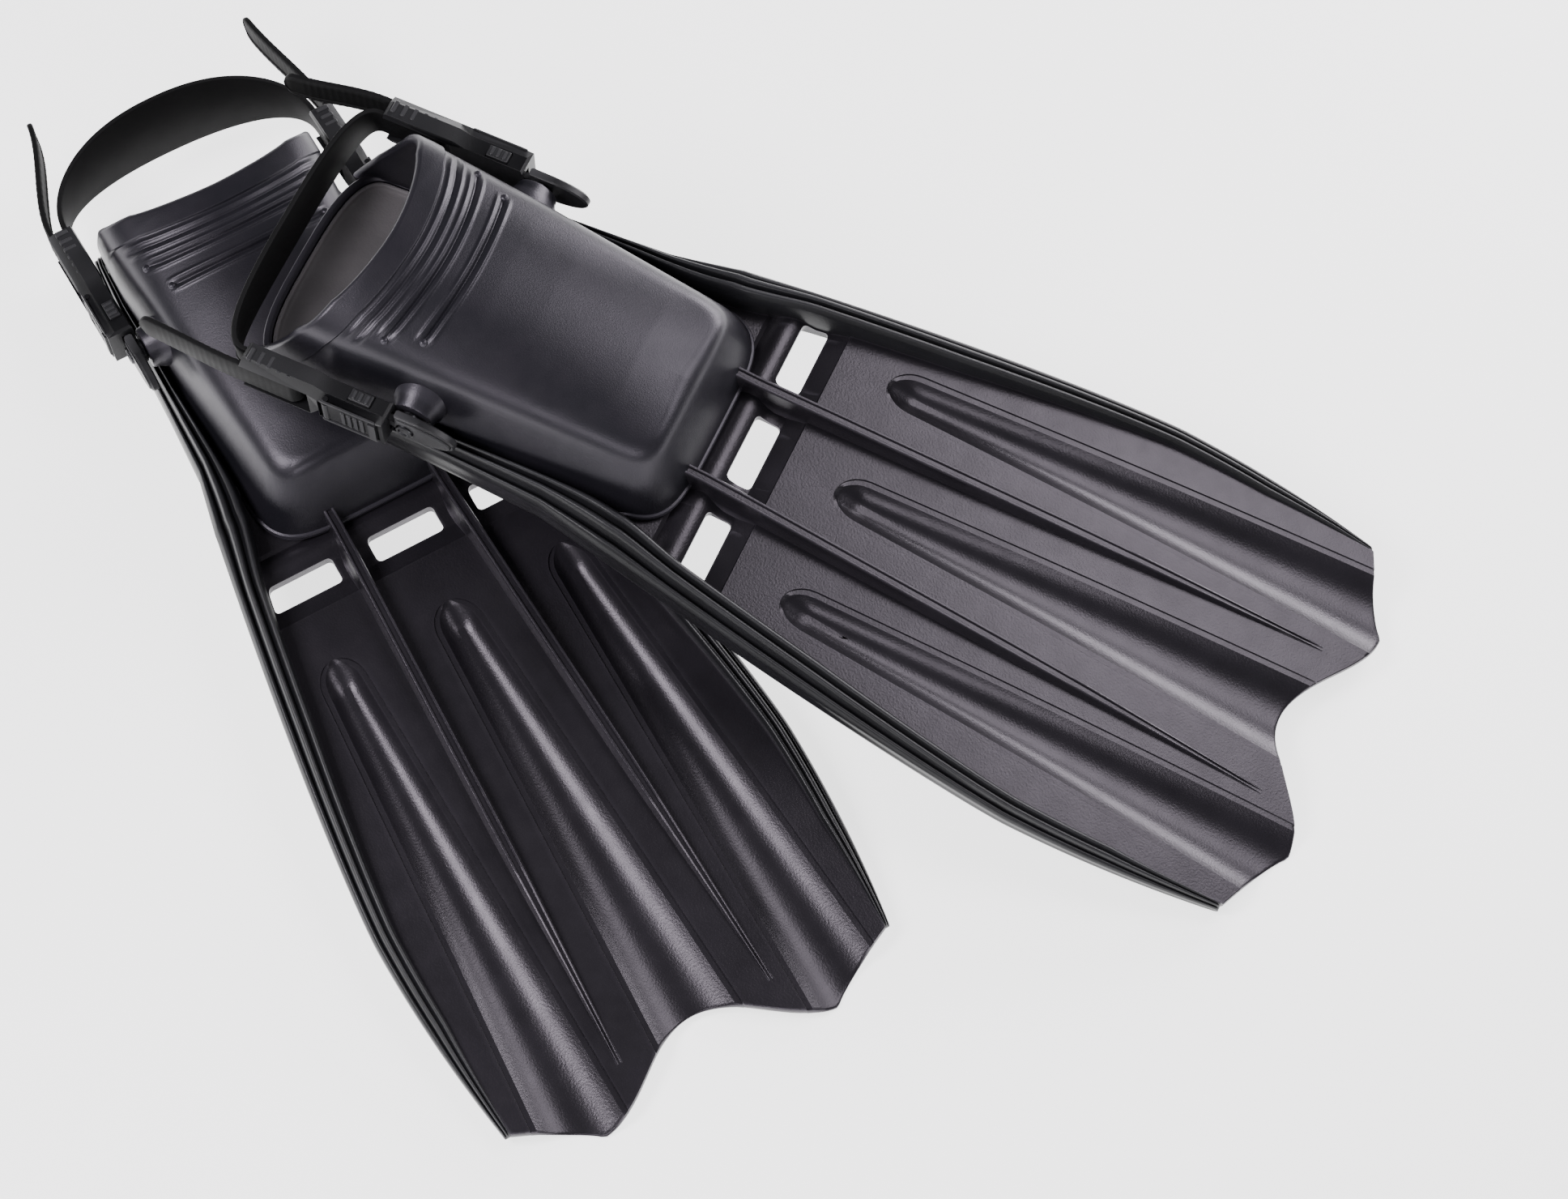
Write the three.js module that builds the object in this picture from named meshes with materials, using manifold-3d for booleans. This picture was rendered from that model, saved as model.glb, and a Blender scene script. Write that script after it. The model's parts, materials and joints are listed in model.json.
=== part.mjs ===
// A pair of adjustable open-heel swim fins, crossed at the foot pockets.
// Each fin is modelled in its own frame: x runs from the heel to the blade tip, y to the left, z up,
// with the sole's underside on z = 0. The lower fin lies along +X and the upper fin rests on it.
// Millimetres.
import * as THREE from 'three';
import { mergeVertices } from 'three/addons/utils/BufferGeometryUtils.js';
import Module from 'manifold-3d';

const wasm = await Module();
wasm.setup();

// ---------------------------------------------------------------- driving dimensions
const GAP = 0.3;

const HEEL_X = 4;
const BEND_X = 218;
const TOE_X = 243;
const TOE_ROUND_X = 190;
const SOLE_THICKNESS = 14;
const WALL = 4.5;
const SECTION_EXPONENT = 3.3;

const BLADE_LENGTH = 376;
const BLADE_ROOT = 2;
const BLADE_THICKNESS = 5;
const BLADE_HEIGHT = 13.5;
const BLADE_ROWS = 19;
const BLADE_COLUMNS = 26;
const EDGE_Y = 108;
const BLADE_SLOPE = 8.1 * Math.PI / 180;
const BLADE_BOW = 4 * Math.PI / 180;
const NOTCH_DEPTH = 32;
const LOBE_Y = 66;

const VENT_S = 44.5;
const VENT_Y = 58.8;
const VENT_WIDTH = 14;
const VENT_LENGTH = 38;

const SCOOP_START = 90;
const SCOOP_DEPTH = 3.5;
const SCOOP_Y_ROOT = 66;
const SCOOP_Y_TIP = 78;

const RIB_START = 31;
const RIB_END = 349;
const RIB_Y_ROOT = 30;
const RIB_Y_TIP = 42.7;
const RIB_HEIGHT = 13;

const POST_X = 108;
const POST_Z = 47;
const BOSS_FACE_Y = 70.5;
const BOSS_RADIUS = 11;

const STRAP_THICKNESS = 3.2;
const STRAP_HALF_WIDTH = 9.2;
const STRAP_HEEL_HALF_WIDTH = 22.5;
const BAR_U = 62;
const BAR_RADIUS = 2.2;

const BUTTON_TRAVEL_ROOM = 2.4;

// ---------------------------------------------------------------- solids
// Builds a closed solid and turns its faces outward.
function closedGeometry(points, triangles) {
  let volume = 0;
  for (const [a, b, c] of triangles) {
    volume += points[a].dot(new THREE.Vector3().crossVectors(points[b], points[c]));
  }
  const index = triangles.flatMap(([a, b, c]) => (volume < 0 ? [a, c, b] : [a, b, c]));
  const geometry = new THREE.BufferGeometry().setFromPoints(points);
  geometry.setIndex(index);
  return geometry;
}

// Joins equal rings of points into a solid with flat ends.
function loft(rings, outline) {
  const count = rings[0].length;
  const points = rings.flat();
  const triangles = [];
  for (let i = 0; i + 1 < rings.length; i += 1) {
    for (let j = 0; j < count; j += 1) {
      const a = i * count + j;
      const b = i * count + (j + 1) % count;
      triangles.push([a, b, a + count], [b, b + count, a + count]);
    }
  }
  const last = (rings.length - 1) * count;
  const clockwise = THREE.ShapeUtils.isClockWise(outline);
  for (const face of THREE.ShapeUtils.triangulateShape(outline, [])) {
    const [a, b, c] = clockwise ? [...face].reverse() : face;
    triangles.push([c, b, a], [last + a, last + b, last + c]);
  }
  return closedGeometry(points, triangles);
}

function toManifold(geometry) {
  const bare = geometry.clone();
  bare.deleteAttribute('normal');
  bare.deleteAttribute('uv');
  const merged = mergeVertices(bare, 1e-4);
  return new wasm.Manifold(new wasm.Mesh({
    numProp: 3,
    vertProperties: new Float32Array(merged.attributes.position.array),
    triVerts: new Uint32Array(merged.index.array),
  }));
}

function toGeometry(solid) {
  const mesh = solid.getMesh();
  const geometry = new THREE.BufferGeometry();
  geometry.setAttribute('position', new THREE.BufferAttribute(mesh.vertProperties, 3));
  geometry.setIndex(new THREE.BufferAttribute(mesh.triVerts, 1));
  return geometry;
}

function subtract(geometry, ...tools) {
  return toGeometry(tools.reduce((solid, tool) => solid.subtract(toManifold(tool)), toManifold(geometry)));
}

function join(geometry, ...others) {
  return toGeometry(others.reduce((solid, other) => solid.add(toManifold(other)), toManifold(geometry)));
}

function mirrored(geometry) {
  const copy = geometry.clone();
  copy.scale(1, -1, 1);
  const index = copy.index.array.slice();
  for (let i = 0; i < index.length; i += 3) {
    [index[i + 1], index[i + 2]] = [index[i + 2], index[i + 1]];
  }
  copy.setIndex(new THREE.BufferAttribute(index, 1));
  return copy;
}

function box(x0, x1, y0, y1, z0, z1) {
  const geometry = new THREE.BoxGeometry(x1 - x0, y1 - y0, z1 - z0);
  geometry.translate((x0 + x1) / 2, (y0 + y1) / 2, (z0 + z1) / 2);
  return geometry;
}

function cylinderAlongY(radius, y0, y1, x, z, sides = 12) {
  const geometry = new THREE.CylinderGeometry(radius, radius, y1 - y0, sides);
  geometry.translate(x, (y0 + y1) / 2, z);
  return geometry;
}

function cylinderAlongZ(radius, z0, z1, x, y, sides = 12) {
  const geometry = new THREE.CylinderGeometry(radius, radius, z1 - z0, sides);
  geometry.rotateX(Math.PI / 2);
  geometry.translate(x, y, (z0 + z1) / 2);
  return geometry;
}

// Extrudes an outline drawn in the x-z plane from y0 to y1.
function prismAlongY(shape, y0, y1) {
  const geometry = new THREE.ExtrudeGeometry(shape, { depth: y1 - y0, bevelEnabled: false, curveSegments: 4 });
  geometry.rotateX(Math.PI / 2);
  geometry.translate(0, y1, 0);
  return geometry;
}

// ---------------------------------------------------------------- the fin's lines
// Linear interpolation in a short list of [position, value] stations.
function along(stations, x) {
  const last = stations.length - 1;
  if (x <= stations[0][0]) return stations[0][1];
  if (x >= stations[last][0]) return stations[last][1];
  const i = stations.findIndex(([position]) => position > x) - 1;
  const [x0, v0] = stations[i];
  const [x1, v1] = stations[i + 1];
  return v0 + (v1 - v0) * (x - x0) / (x1 - x0);
}

const POCKET_HALF_WIDTH = [[HEEL_X, 57], [20, 62], [60, 64.5], [130, 65.5], [TOE_ROUND_X, 64.5], [TOE_X, 62]];
const POCKET_HEIGHT = [[HEEL_X, 94], [84, 93], [104, 90], [125, 86], [150, 80], [200, 68], [TOE_X, 60]];

// Distance s runs down the blade from the bend; the blade slopes down and bows a little.
function slopeAt(s) {
  return BLADE_SLOPE + BLADE_BOW * s / BLADE_LENGTH;
}

function bladeLine(s) {
  const steps = Math.max(1, Math.ceil(Math.abs(s) / 8));
  const point = new THREE.Vector3(BEND_X, 0, BLADE_HEIGHT);
  for (let i = 0; i < steps; i += 1) {
    const angle = slopeAt(s * (i + 0.5) / steps);
    point.x += Math.cos(angle) * s / steps;
    point.z -= Math.sin(angle) * s / steps;
  }
  return point;
}

function bladePoint(s, y, n) {
  const point = bladeLine(s);
  const angle = slopeAt(s);
  return new THREE.Vector3(point.x + n * Math.sin(angle), y, point.z + n * Math.cos(angle));
}

// A point beside the fin's centre line: level along the sole, then down the blade.
function spinePoint(d, y, n) {
  if (d <= BEND_X) return new THREE.Vector3(d, y, BLADE_HEIGHT + n);
  return bladePoint(d - BEND_X, y, n);
}

// Half the fin's width over its side rails.
function outerHalfWidth(d) {
  const widest = BEND_X + 238;
  if (d >= widest) return 118 - 9 * ((d - widest) / 112) ** 2;
  if (d >= BEND_X) return 118 - 31.5 * ((widest - d) / (widest - BEND_X)) ** 1.32;
  return along([[12, 66], [60, 71.5], [130, 75], [180, 78.5], [BEND_X, 86.5]], d);
}

function railInnerHalfWidth(d) {
  const besidePocket = along(POCKET_HALF_WIDTH, Math.min(d, TOE_ROUND_X)) + GAP + 0.1;
  if (d <= BEND_X) return besidePocket;
  const blend = Math.min((d - BEND_X) / 26, 1);
  const railWidth = along([[BEND_X, 16], [BEND_X + 120, 15], [BEND_X + BLADE_LENGTH, 9]], d);
  return besidePocket * (1 - blend) + (outerHalfWidth(d) - railWidth) * blend;
}

// Where the blade ends at each distance from its middle: two lobes and a notch between them.
function bladeEnd(y) {
  const side = Math.abs(y);
  if (side <= LOBE_Y) {
    const rise = 0.5 - 0.5 * Math.cos(Math.PI * side / LOBE_Y);
    return BLADE_LENGTH - NOTCH_DEPTH * (1 - rise);
  }
  return BLADE_LENGTH - 24 * ((side - LOBE_Y) / 44) ** 0.8;
}

// Row i of the blade's rows, from its root to its end at a given distance from the middle.
function bladeRow(i, y) {
  return BLADE_ROOT + (bladeEnd(y) - BLADE_ROOT) * i / BLADE_ROWS;
}

// ---------------------------------------------------------------- blade
function scoopAt(s, y) {
  if (s < SCOOP_START) return 0;
  const t = (s - SCOOP_START) / (BLADE_LENGTH - SCOOP_START);
  const centre = SCOOP_Y_ROOT + (SCOOP_Y_TIP - SCOOP_Y_ROOT) * t;
  const offset = Math.min(Math.abs(y), Math.abs(Math.abs(y) - centre));
  const halfWidth = 12 + 12 * t;
  const across = Math.max(0, 1 - (offset / halfWidth) ** 2);
  return across * Math.min(1, (s - SCOOP_START) / 10);
}

function bladePanel() {
  const columns = BLADE_COLUMNS;
  const rows = BLADE_ROWS;
  const grid = (height) => {
    const points = [];
    for (let i = 0; i <= rows; i += 1) {
      for (let j = 0; j <= columns; j += 1) {
        const across = -1 + 2 * j / columns;
        const s = bladeRow(i, across * EDGE_Y);
        const y = across * (railInnerHalfWidth(BEND_X + s) - GAP);
        points.push(bladePoint(s, y, height(s, y)));
      }
    }
    return points;
  };
  const top = grid((s, y) => BLADE_THICKNESS / 2 - SCOOP_DEPTH * scoopAt(s, y));
  const bottom = grid((s, y) => -BLADE_THICKNESS / 2 - 1.5 * scoopAt(s, y));
  const stride = columns + 1;
  const under = top.length;
  const triangles = [];
  for (let i = 0; i < rows; i += 1) {
    for (let j = 0; j < columns; j += 1) {
      const a = i * stride + j;
      triangles.push([a, a + 1, a + stride], [a + 1, a + stride + 1, a + stride]);
      triangles.push([under + a, under + a + stride, under + a + 1]);
      triangles.push([under + a + 1, under + a + stride, under + a + stride + 1]);
    }
  }
  const edge = [];
  for (let j = 0; j < columns; j += 1) edge.push(j);
  for (let i = 0; i < rows; i += 1) edge.push(i * stride + columns);
  for (let j = columns; j > 0; j -= 1) edge.push(rows * stride + j);
  for (let i = rows; i > 0; i -= 1) edge.push(i * stride);
  edge.forEach((a, k) => {
    const b = edge[(k + 1) % edge.length];
    triangles.push([a, under + a, b], [b, under + a, under + b]);
  });
  return closedGeometry([...top, ...bottom], triangles);
}

// One stiffening rib, standing on the blade from the toe nearly to the tip.
function bladeRib(side) {
  const steps = 10;
  const rings = [];
  for (let i = 0; i <= steps; i += 1) {
    const t = i / steps;
    const s = RIB_START + (RIB_END - RIB_START) * t;
    const y = side * (RIB_Y_ROOT + (RIB_Y_TIP - RIB_Y_ROOT) * t);
    const height = BLADE_THICKNESS / 2 + 0.5 + RIB_HEIGHT * (1 - t) ** 0.8;
    rings.push([
      bladePoint(s, y - 4.5, -1),
      bladePoint(s, y + 4.5, -1),
      bladePoint(s, y + 3, height),
      bladePoint(s, y - 3, height),
    ]);
  }
  const outline = [[-4.5, -1], [4.5, -1], [3, 5], [-3, 5]].map(([x, y]) => new THREE.Vector2(x, y));
  return loft(rings, outline);
}

function vent(y) {
  const shape = new THREE.Shape();
  const radius = 3;
  const halfLength = VENT_LENGTH / 2 - radius;
  const halfWidth = VENT_WIDTH / 2 - radius;
  shape.absarc(halfWidth, halfLength, radius, 0, Math.PI / 2);
  shape.absarc(-halfWidth, halfLength, radius, Math.PI / 2, Math.PI);
  shape.absarc(-halfWidth, -halfLength, radius, Math.PI, 1.5 * Math.PI);
  shape.absarc(halfWidth, -halfLength, radius, 1.5 * Math.PI, 2 * Math.PI);
  const geometry = new THREE.ExtrudeGeometry(shape, { depth: 30, bevelEnabled: false, curveSegments: 3 });
  geometry.translate(0, 0, -15);
  geometry.rotateY(slopeAt(VENT_S));
  const centre = bladePoint(VENT_S, y, 0);
  geometry.translate(centre.x, centre.y, centre.z);
  return geometry;
}

// The blade's root tongue, which sits in a slot in the sole.
function rootTongue(grow) {
  return box(146 - grow, 226, -40 - grow, 40 + grow, 6.5 - grow, 11.5 + grow);
}

function bladeGeometry() {
  const blade = join(bladePanel(), bladeRib(1), bladeRib(-1), rootTongue(0));
  return subtract(blade, vent(-VENT_Y), vent(0), vent(VENT_Y));
}

// ---------------------------------------------------------------- side rails
function railGeometry(side) {
  const rings = [];
  const stations = [12, 20, 40, 60, 95, 130, 160, TOE_ROUND_X];
  for (let i = 0; i <= BLADE_ROWS; i += 1) stations.push(BEND_X + bladeRow(i, EDGE_Y));
  for (const d of stations) {
    const inner = railInnerHalfWidth(d);
    const outer = outerHalfWidth(d);
    const top = along([[12, 5], [50, 13], [100, 20.5], [165, 22], [BEND_X + 40, 20],
      [BEND_X + 150, 14], [BEND_X + 250, 9], [BEND_X + 352, 3.5]], d);
    const bottom = -along([[12, 7], [60, 8], [BEND_X, 9], [BEND_X + 150, 6.5], [BEND_X + 352, 3]], d);
    const at = (across, n) => spinePoint(d, side * (inner + (outer - inner) * across), n);
    rings.push([
      at(0, bottom), at(0, top * 0.8), at(0.25, top), at(0.6, top),
      at(0.68, top * 0.72), at(1, top * 0.55), at(1, bottom * 0.4), at(0.75, bottom),
    ]);
  }
  const outline = [[0, -7], [0, 4], [0.25, 5], [0.6, 5], [0.68, 3.6], [1, 2.7], [1, -2.8], [0.75, -7]];
  return loft(rings, outline.map(([x, y]) => new THREE.Vector2(x, y)));
}

// ---------------------------------------------------------------- foot pocket
// One cross-section: a flat base, and sides and top that follow a squared-off arch.
function pocketSection(x, halfWidth, base, shoulder, height) {
  const arcSteps = 18;
  const points = [
    new THREE.Vector3(x, -halfWidth + 4, base),
    new THREE.Vector3(x, halfWidth - 4, base),
  ];
  for (let i = 0; i <= arcSteps; i += 1) {
    const angle = Math.PI * i / arcSteps;
    const power = 2 / SECTION_EXPONENT;
    const cosine = Math.cos(angle);
    const y = halfWidth * Math.sign(cosine) * Math.abs(cosine) ** power;
    const z = shoulder + (height - shoulder) * Math.max(0, Math.sin(angle)) ** power;
    points.push(new THREE.Vector3(x, y, z));
  }
  return points;
}

// The toe rounds off in plan and in height over the last stretch.
function toeRounding(x, end) {
  const t = Math.max(0, (x - TOE_ROUND_X) / (end - TOE_ROUND_X));
  return {
    width: (1 - t ** 3.2) ** (1 / 3.2),
    height: (1 - t ** 3.5) ** (1 / 3.5),
  };
}

function pocketLoft(stations, end, inset, base) {
  const rings = stations.map((x) => {
    const round = toeRounding(x, end);
    const halfWidth = (along(POCKET_HALF_WIDTH, x) - inset) * round.width;
    const shoulder = base + 4 + (inset > 0 ? 2 : 10) * round.height;
    const height = shoulder + (along(POCKET_HEIGHT, x) - inset - shoulder) * round.height;
    return pocketSection(x, halfWidth, base, shoulder, height);
  });
  return loft(rings, rings[0].map((point) => new THREE.Vector2(point.y, point.z)));
}

// Everything above the heel opening's edge, seen from the side.
function heelOpening() {
  const edge = [[-40, 18], [13, 18], [22, 31], [36, 48], [48, 68], [57, 88], [60, 130], [-40, 130]];
  return prismAlongY(new THREE.Shape(edge.map(([x, z]) => new THREE.Vector2(x, z))), -90, 90);
}

// The space that the blade takes under the toe.
function bladeClearance() {
  const edge = [new THREE.Vector2(BEND_X - 0.5, -20)];
  const first = bladePoint(0, 0, BLADE_THICKNESS / 2 + GAP);
  edge.push(new THREE.Vector2(BEND_X - 0.5, first.z));
  for (let s = 1; s <= 50; s += 7) {
    const point = bladePoint(s, 0, BLADE_THICKNESS / 2 + GAP);
    edge.push(new THREE.Vector2(point.x, point.z));
  }
  edge.push(new THREE.Vector2(edge[edge.length - 1].x, -20));
  return prismAlongY(new THREE.Shape(edge), -90, 90);
}

function boss(side) {
  const y0 = side > 0 ? 52 : -BOSS_FACE_Y;
  const y1 = side > 0 ? BOSS_FACE_Y : -52;
  return cylinderAlongY(BOSS_RADIUS, y0, y1, POST_X, POST_Z, 16);
}

function pocketGeometry() {
  const outerStations = [HEEL_X, 20, 45, 70, 95, 120, 145, 170, 190, 204, 216, 225, 232, 237, 240.5, 242.4];
  const innerStations = [HEEL_X - 10, 20, 50, 84, 110, 135, 160, 190, 204, 216, 225, 231, 235, 236.6];
  const outer = pocketLoft(outerStations, TOE_X, 0, 0);
  const cavity = pocketLoft(innerStations, TOE_X - 6, WALL, SOLE_THICKNESS);
  const shell = join(outer, boss(1), boss(-1));
  return subtract(shell, cavity, heelOpening(), bladeClearance(), rootTongue(GAP));
}

// ---------------------------------------------------------------- buckle (left side)
// u runs rearward from the pivot post, v up from its axis, and y outward from the pocket.
const INSERT_INNER_Y = BOSS_FACE_Y + 3.1;
const INSERT_THICKNESS = 4.4;
const NECK_HALF_WIDTH = 2.8;
const HOUSING_INNER_Y = BOSS_FACE_Y + 0.8;
const HOUSING_OUTER_Y = BOSS_FACE_Y + 15;
const BAR_Y = BOSS_FACE_Y + 8.5;
const LEVER_PIN_U = 40.5;
const LEVER_PIN_Y = HOUSING_OUTER_Y - 1.9;
const RECESS_Y = HOUSING_OUTER_Y - 3.9;

function buckleBox(u0, u1, y0, y1, v0, v1) {
  return box(POST_X - u1, POST_X - u0, y0, y1, POST_Z + v0, POST_Z + v1);
}

function buckleShape(points) {
  return new THREE.Shape(points.map(([u, v]) => new THREE.Vector2(POST_X - u, POST_Z + v)));
}

function pivotPin() {
  const flange = cylinderAlongY(7.8, BOSS_FACE_Y + GAP, INSERT_INNER_Y - GAP, POST_X, POST_Z, 16);
  const stem = cylinderAlongY(3.9, BOSS_FACE_Y + 1, INSERT_INNER_Y + 6, POST_X, POST_Z, 16);
  const headStart = INSERT_INNER_Y + INSERT_THICKNESS + GAP;
  const head = cylinderAlongY(6.8, headStart, headStart + 2.4, POST_X, POST_Z, 16);
  return join(flange, stem, head);
}

function swivelInsert() {
  const outline = new THREE.Shape();
  const x = (u) => POST_X - u;
  outline.moveTo(x(34), POST_Z - NECK_HALF_WIDTH);
  outline.lineTo(x(8), POST_Z - NECK_HALF_WIDTH);
  outline.lineTo(x(6.5), POST_Z - 9.5);
  outline.lineTo(x(-6), POST_Z - 9.5);
  outline.quadraticCurveTo(x(-20), POST_Z - 7, x(-27), POST_Z);
  outline.quadraticCurveTo(x(-20), POST_Z + 7, x(-6), POST_Z + 9.5);
  outline.lineTo(x(6.5), POST_Z + 9.5);
  outline.lineTo(x(8), POST_Z + NECK_HALF_WIDTH);
  outline.lineTo(x(34), POST_Z + NECK_HALF_WIDTH);
  const plate = prismAlongY(outline, INSERT_INNER_Y, INSERT_INNER_Y + INSERT_THICKNESS);
  return subtract(plate, cylinderAlongY(4.3, INSERT_INNER_Y - 2, INSERT_INNER_Y + 8, POST_X, POST_Z, 16));
}

function buttonBox(side, grow) {
  const near = 5.2 - (grow > 0 ? BUTTON_TRAVEL_ROOM : 0);
  const far = 12.4 + grow;
  const [v0, v1] = side > 0 ? [near, far] : [-far, -near];
  return buckleBox(18 - grow, 30 + grow, INSERT_INNER_Y - 0.4 - grow, INSERT_INNER_Y + 6 + grow, v0, v1);
}

function buckleHousing() {
  const outline = buckleShape([
    [8.5, -10], [10, -11], [42, -11], [48, -13.5], [86, -13.5], [88, -12],
    [88, 12], [86, 13.5], [48, 13.5], [42, 11], [10, 11], [8.5, 10],
  ]);
  const body = prismAlongY(outline, HOUSING_INNER_Y, HOUSING_OUTER_Y);
  const cavity = buckleBox(0, 41, INSERT_INNER_Y - 0.4, INSERT_INNER_Y + INSERT_THICKNESS + 0.4, -6.4, 6.4);
  const window = buckleBox(50, 83, HOUSING_INNER_Y - 5, HOUSING_OUTER_Y + 5, -10, 10);
  const innerWay = buckleBox(60, 95, HOUSING_INNER_Y - 5, BAR_Y - BAR_RADIUS, -10, 10);
  const outerWay = buckleBox(60, 95, BAR_Y + BAR_RADIUS, HOUSING_OUTER_Y + 5, -10, 10);
  const recess = buckleBox(11, 44.5, RECESS_Y, HOUSING_OUTER_Y + 5, -8, 8);
  const knuckleRoom = buckleBox(37, 44.5, LEVER_PIN_Y - 3.2, HOUSING_OUTER_Y + 5, -8, 8);
  const pinHole = cylinderAlongZ(1.5, POST_Z - 10.3, POST_Z + 10.3, POST_X - LEVER_PIN_U, LEVER_PIN_Y);
  return subtract(body, cavity, window, innerWay, outerWay, recess, knuckleRoom, pinHole,
    buttonBox(1, GAP), buttonBox(-1, GAP));
}

function lockingLever() {
  const plate = buckleBox(12, LEVER_PIN_U, RECESS_Y + GAP, HOUSING_OUTER_Y - 0.2, -7.5, 7.5);
  const lip = buckleBox(12, 16, HOUSING_OUTER_Y - 1, HOUSING_OUTER_Y + 1.2, -7.5, 7.5);
  const knuckle = cylinderAlongZ(2.6, POST_Z - 7.5, POST_Z + 7.5, POST_X - LEVER_PIN_U, LEVER_PIN_Y, 16);
  const hole = cylinderAlongZ(1.5, POST_Z - 9, POST_Z + 9, POST_X - LEVER_PIN_U, LEVER_PIN_Y);
  return subtract(join(plate, lip, knuckle), hole);
}

function leverPin() {
  return cylinderAlongZ(1.2, POST_Z - 10, POST_Z + 10, POST_X - LEVER_PIN_U, LEVER_PIN_Y);
}

function strapBar() {
  return cylinderAlongZ(BAR_RADIUS, POST_Z - 9.7, POST_Z + 9.7, POST_X - BAR_U, BAR_Y);
}

// ---------------------------------------------------------------- heel strap
// Left half of the strap's centre line, from the tail's end, round the bar and back to the heel.
function strapHalf(fit) {
  const turn = BAR_RADIUS + GAP + STRAP_THICKNESS / 2;
  const barX = POST_X - BAR_U;
  const points = [];
  const add = (x, y, z, half) => points.push({ x, y, z, half });
  const outside = BAR_Y + turn;
  const inside = BAR_Y - turn;
  for (let i = 0; i < 4; i += 1) {
    const t = i / 4;
    const bend = t * t * (3 - 2 * t);
    add(fit.tailX + (16 - fit.tailX) * t, fit.tailY + (outside - fit.tailY) * bend,
      fit.tailZ + (POST_Z - fit.tailZ) * bend, STRAP_HALF_WIDTH - (i === 0 ? 1.5 : 0));
  }
  add(17, outside, POST_Z, STRAP_HALF_WIDTH);
  const turnSteps = 6;
  for (let i = 0; i <= turnSteps; i += 1) {
    const angle = Math.PI / 2 - Math.PI * i / turnSteps;
    add(barX + turn * Math.cos(angle), BAR_Y + turn * Math.sin(angle), POST_Z, STRAP_HALF_WIDTH);
  }
  const loopSteps = 12;
  const loopX = 19;
  for (let i = 0; i < loopSteps; i += 1) {
    const angle = Math.PI / 2 * i / loopSteps;
    const power = 2 / fit.loopExponent;
    const widen = Math.sin(angle) ** 1.5;
    add(loopX - (loopX - fit.heelX) * Math.sin(angle) ** power, inside * Math.cos(angle) ** power,
      POST_Z + (fit.heelZ - POST_Z) * widen,
      STRAP_HALF_WIDTH + (STRAP_HEEL_HALF_WIDTH - STRAP_HALF_WIDTH) * widen);
  }
  return points;
}

function strapGeometry(fit) {
  const left = strapHalf(fit);
  const heel = { x: fit.heelX, y: 0, z: fit.heelZ, half: STRAP_HEEL_HALF_WIDTH };
  const right = left.map((point) => ({ ...point, y: -point.y })).reverse();
  const line = [...left, heel, ...right];
  const rings = line.map((point, i) => {
    const before = line[Math.max(i - 1, 0)];
    const after = line[Math.min(i + 1, line.length - 1)];
    const along2d = new THREE.Vector2(after.x - before.x, after.y - before.y).normalize();
    const offset = new THREE.Vector2(-along2d.y, along2d.x).multiplyScalar(STRAP_THICKNESS / 2);
    const corner = (side, end) => new THREE.Vector3(
      point.x + side * offset.x, point.y + side * offset.y, point.z + end * point.half);
    return [corner(-1, -1), corner(1, -1), corner(1, 1), corner(-1, 1)];
  });
  const outline = [[-1, -1], [1, -1], [1, 1], [-1, 1]].map(([x, y]) => new THREE.Vector2(x, y));
  return loft(rings, outline);
}

// ---------------------------------------------------------------- one fin
const MATERIALS = {
  plastic: { color: 0x4a4650, roughness: 0.42, metalness: 0 },
  rubber: { color: 0x3c3a42, roughness: 0.5, metalness: 0 },
  strapRubber: { color: 0x17161a, roughness: 0.62, metalness: 0 },
  buckle: { color: 0x2c2b30, roughness: 0.35, metalness: 0 },
  steel: { color: 0x8d8f94, roughness: 0.3, metalness: 1 },
};

function part(name, geometry, material) {
  const mesh = new THREE.Mesh(geometry, new THREE.MeshStandardMaterial(MATERIALS[material]));
  mesh.name = name;
  return mesh;
}

function makeFin(prefix, strapFit) {
  const fin = new THREE.Group();
  fin.add(part(`${prefix}_blade`, bladeGeometry(), 'plastic'));
  fin.add(part(`${prefix}_foot_pocket`, pocketGeometry(), 'rubber'));
  fin.add(part(`${prefix}_heel_strap`, strapGeometry(strapFit), 'strapRubber'));
  const buckleParts = {
    pivot_pin: [pivotPin(), 'steel'],
    swivel_insert: [swivelInsert(), 'buckle'],
    buckle_housing: [buckleHousing(), 'buckle'],
    upper_button: [toGeometry(toManifold(buttonBox(1, 0))), 'buckle'],
    lower_button: [toGeometry(toManifold(buttonBox(-1, 0))), 'buckle'],
    locking_lever: [lockingLever(), 'buckle'],
    lever_pin: [toGeometry(toManifold(leverPin())), 'steel'],
    strap_bar: [toGeometry(toManifold(strapBar())), 'steel'],
  };
  for (const [label, side] of [['left', 1], ['right', -1]]) {
    fin.add(part(`${prefix}_${label}_rail`, railGeometry(side), 'rubber'));
    for (const [name, [geometry, material]] of Object.entries(buckleParts)) {
      const shape = side > 0 ? geometry : mirrored(geometry);
      fin.add(part(`${prefix}_${label}_${name}`, shape, material));
    }
  }
  return fin;
}

// ---------------------------------------------------------------- the crossed pair
const DEGREE = Math.PI / 180;

const lowerFin = makeFin('lower', {
  heelX: -25, heelZ: 50, loopExponent: 2.2, tailX: -60, tailY: 70, tailZ: 57,
});
lowerFin.rotation.set(0, -5.42 * DEGREE, 0, 'ZYX');

const upperFin = makeFin('upper', {
  heelX: 2, heelZ: 43, loopExponent: 3, tailX: -42, tailY: 78, tailZ: 41,
});
upperFin.rotation.set(3.04 * DEGREE, 3.66 * DEGREE, 35.3 * DEGREE, 'ZYX');
upperFin.position.set(125.6, 14.1, 96.1);

const swimFins = new THREE.Group();
swimFins.add(lowerFin, upperFin);

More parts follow.
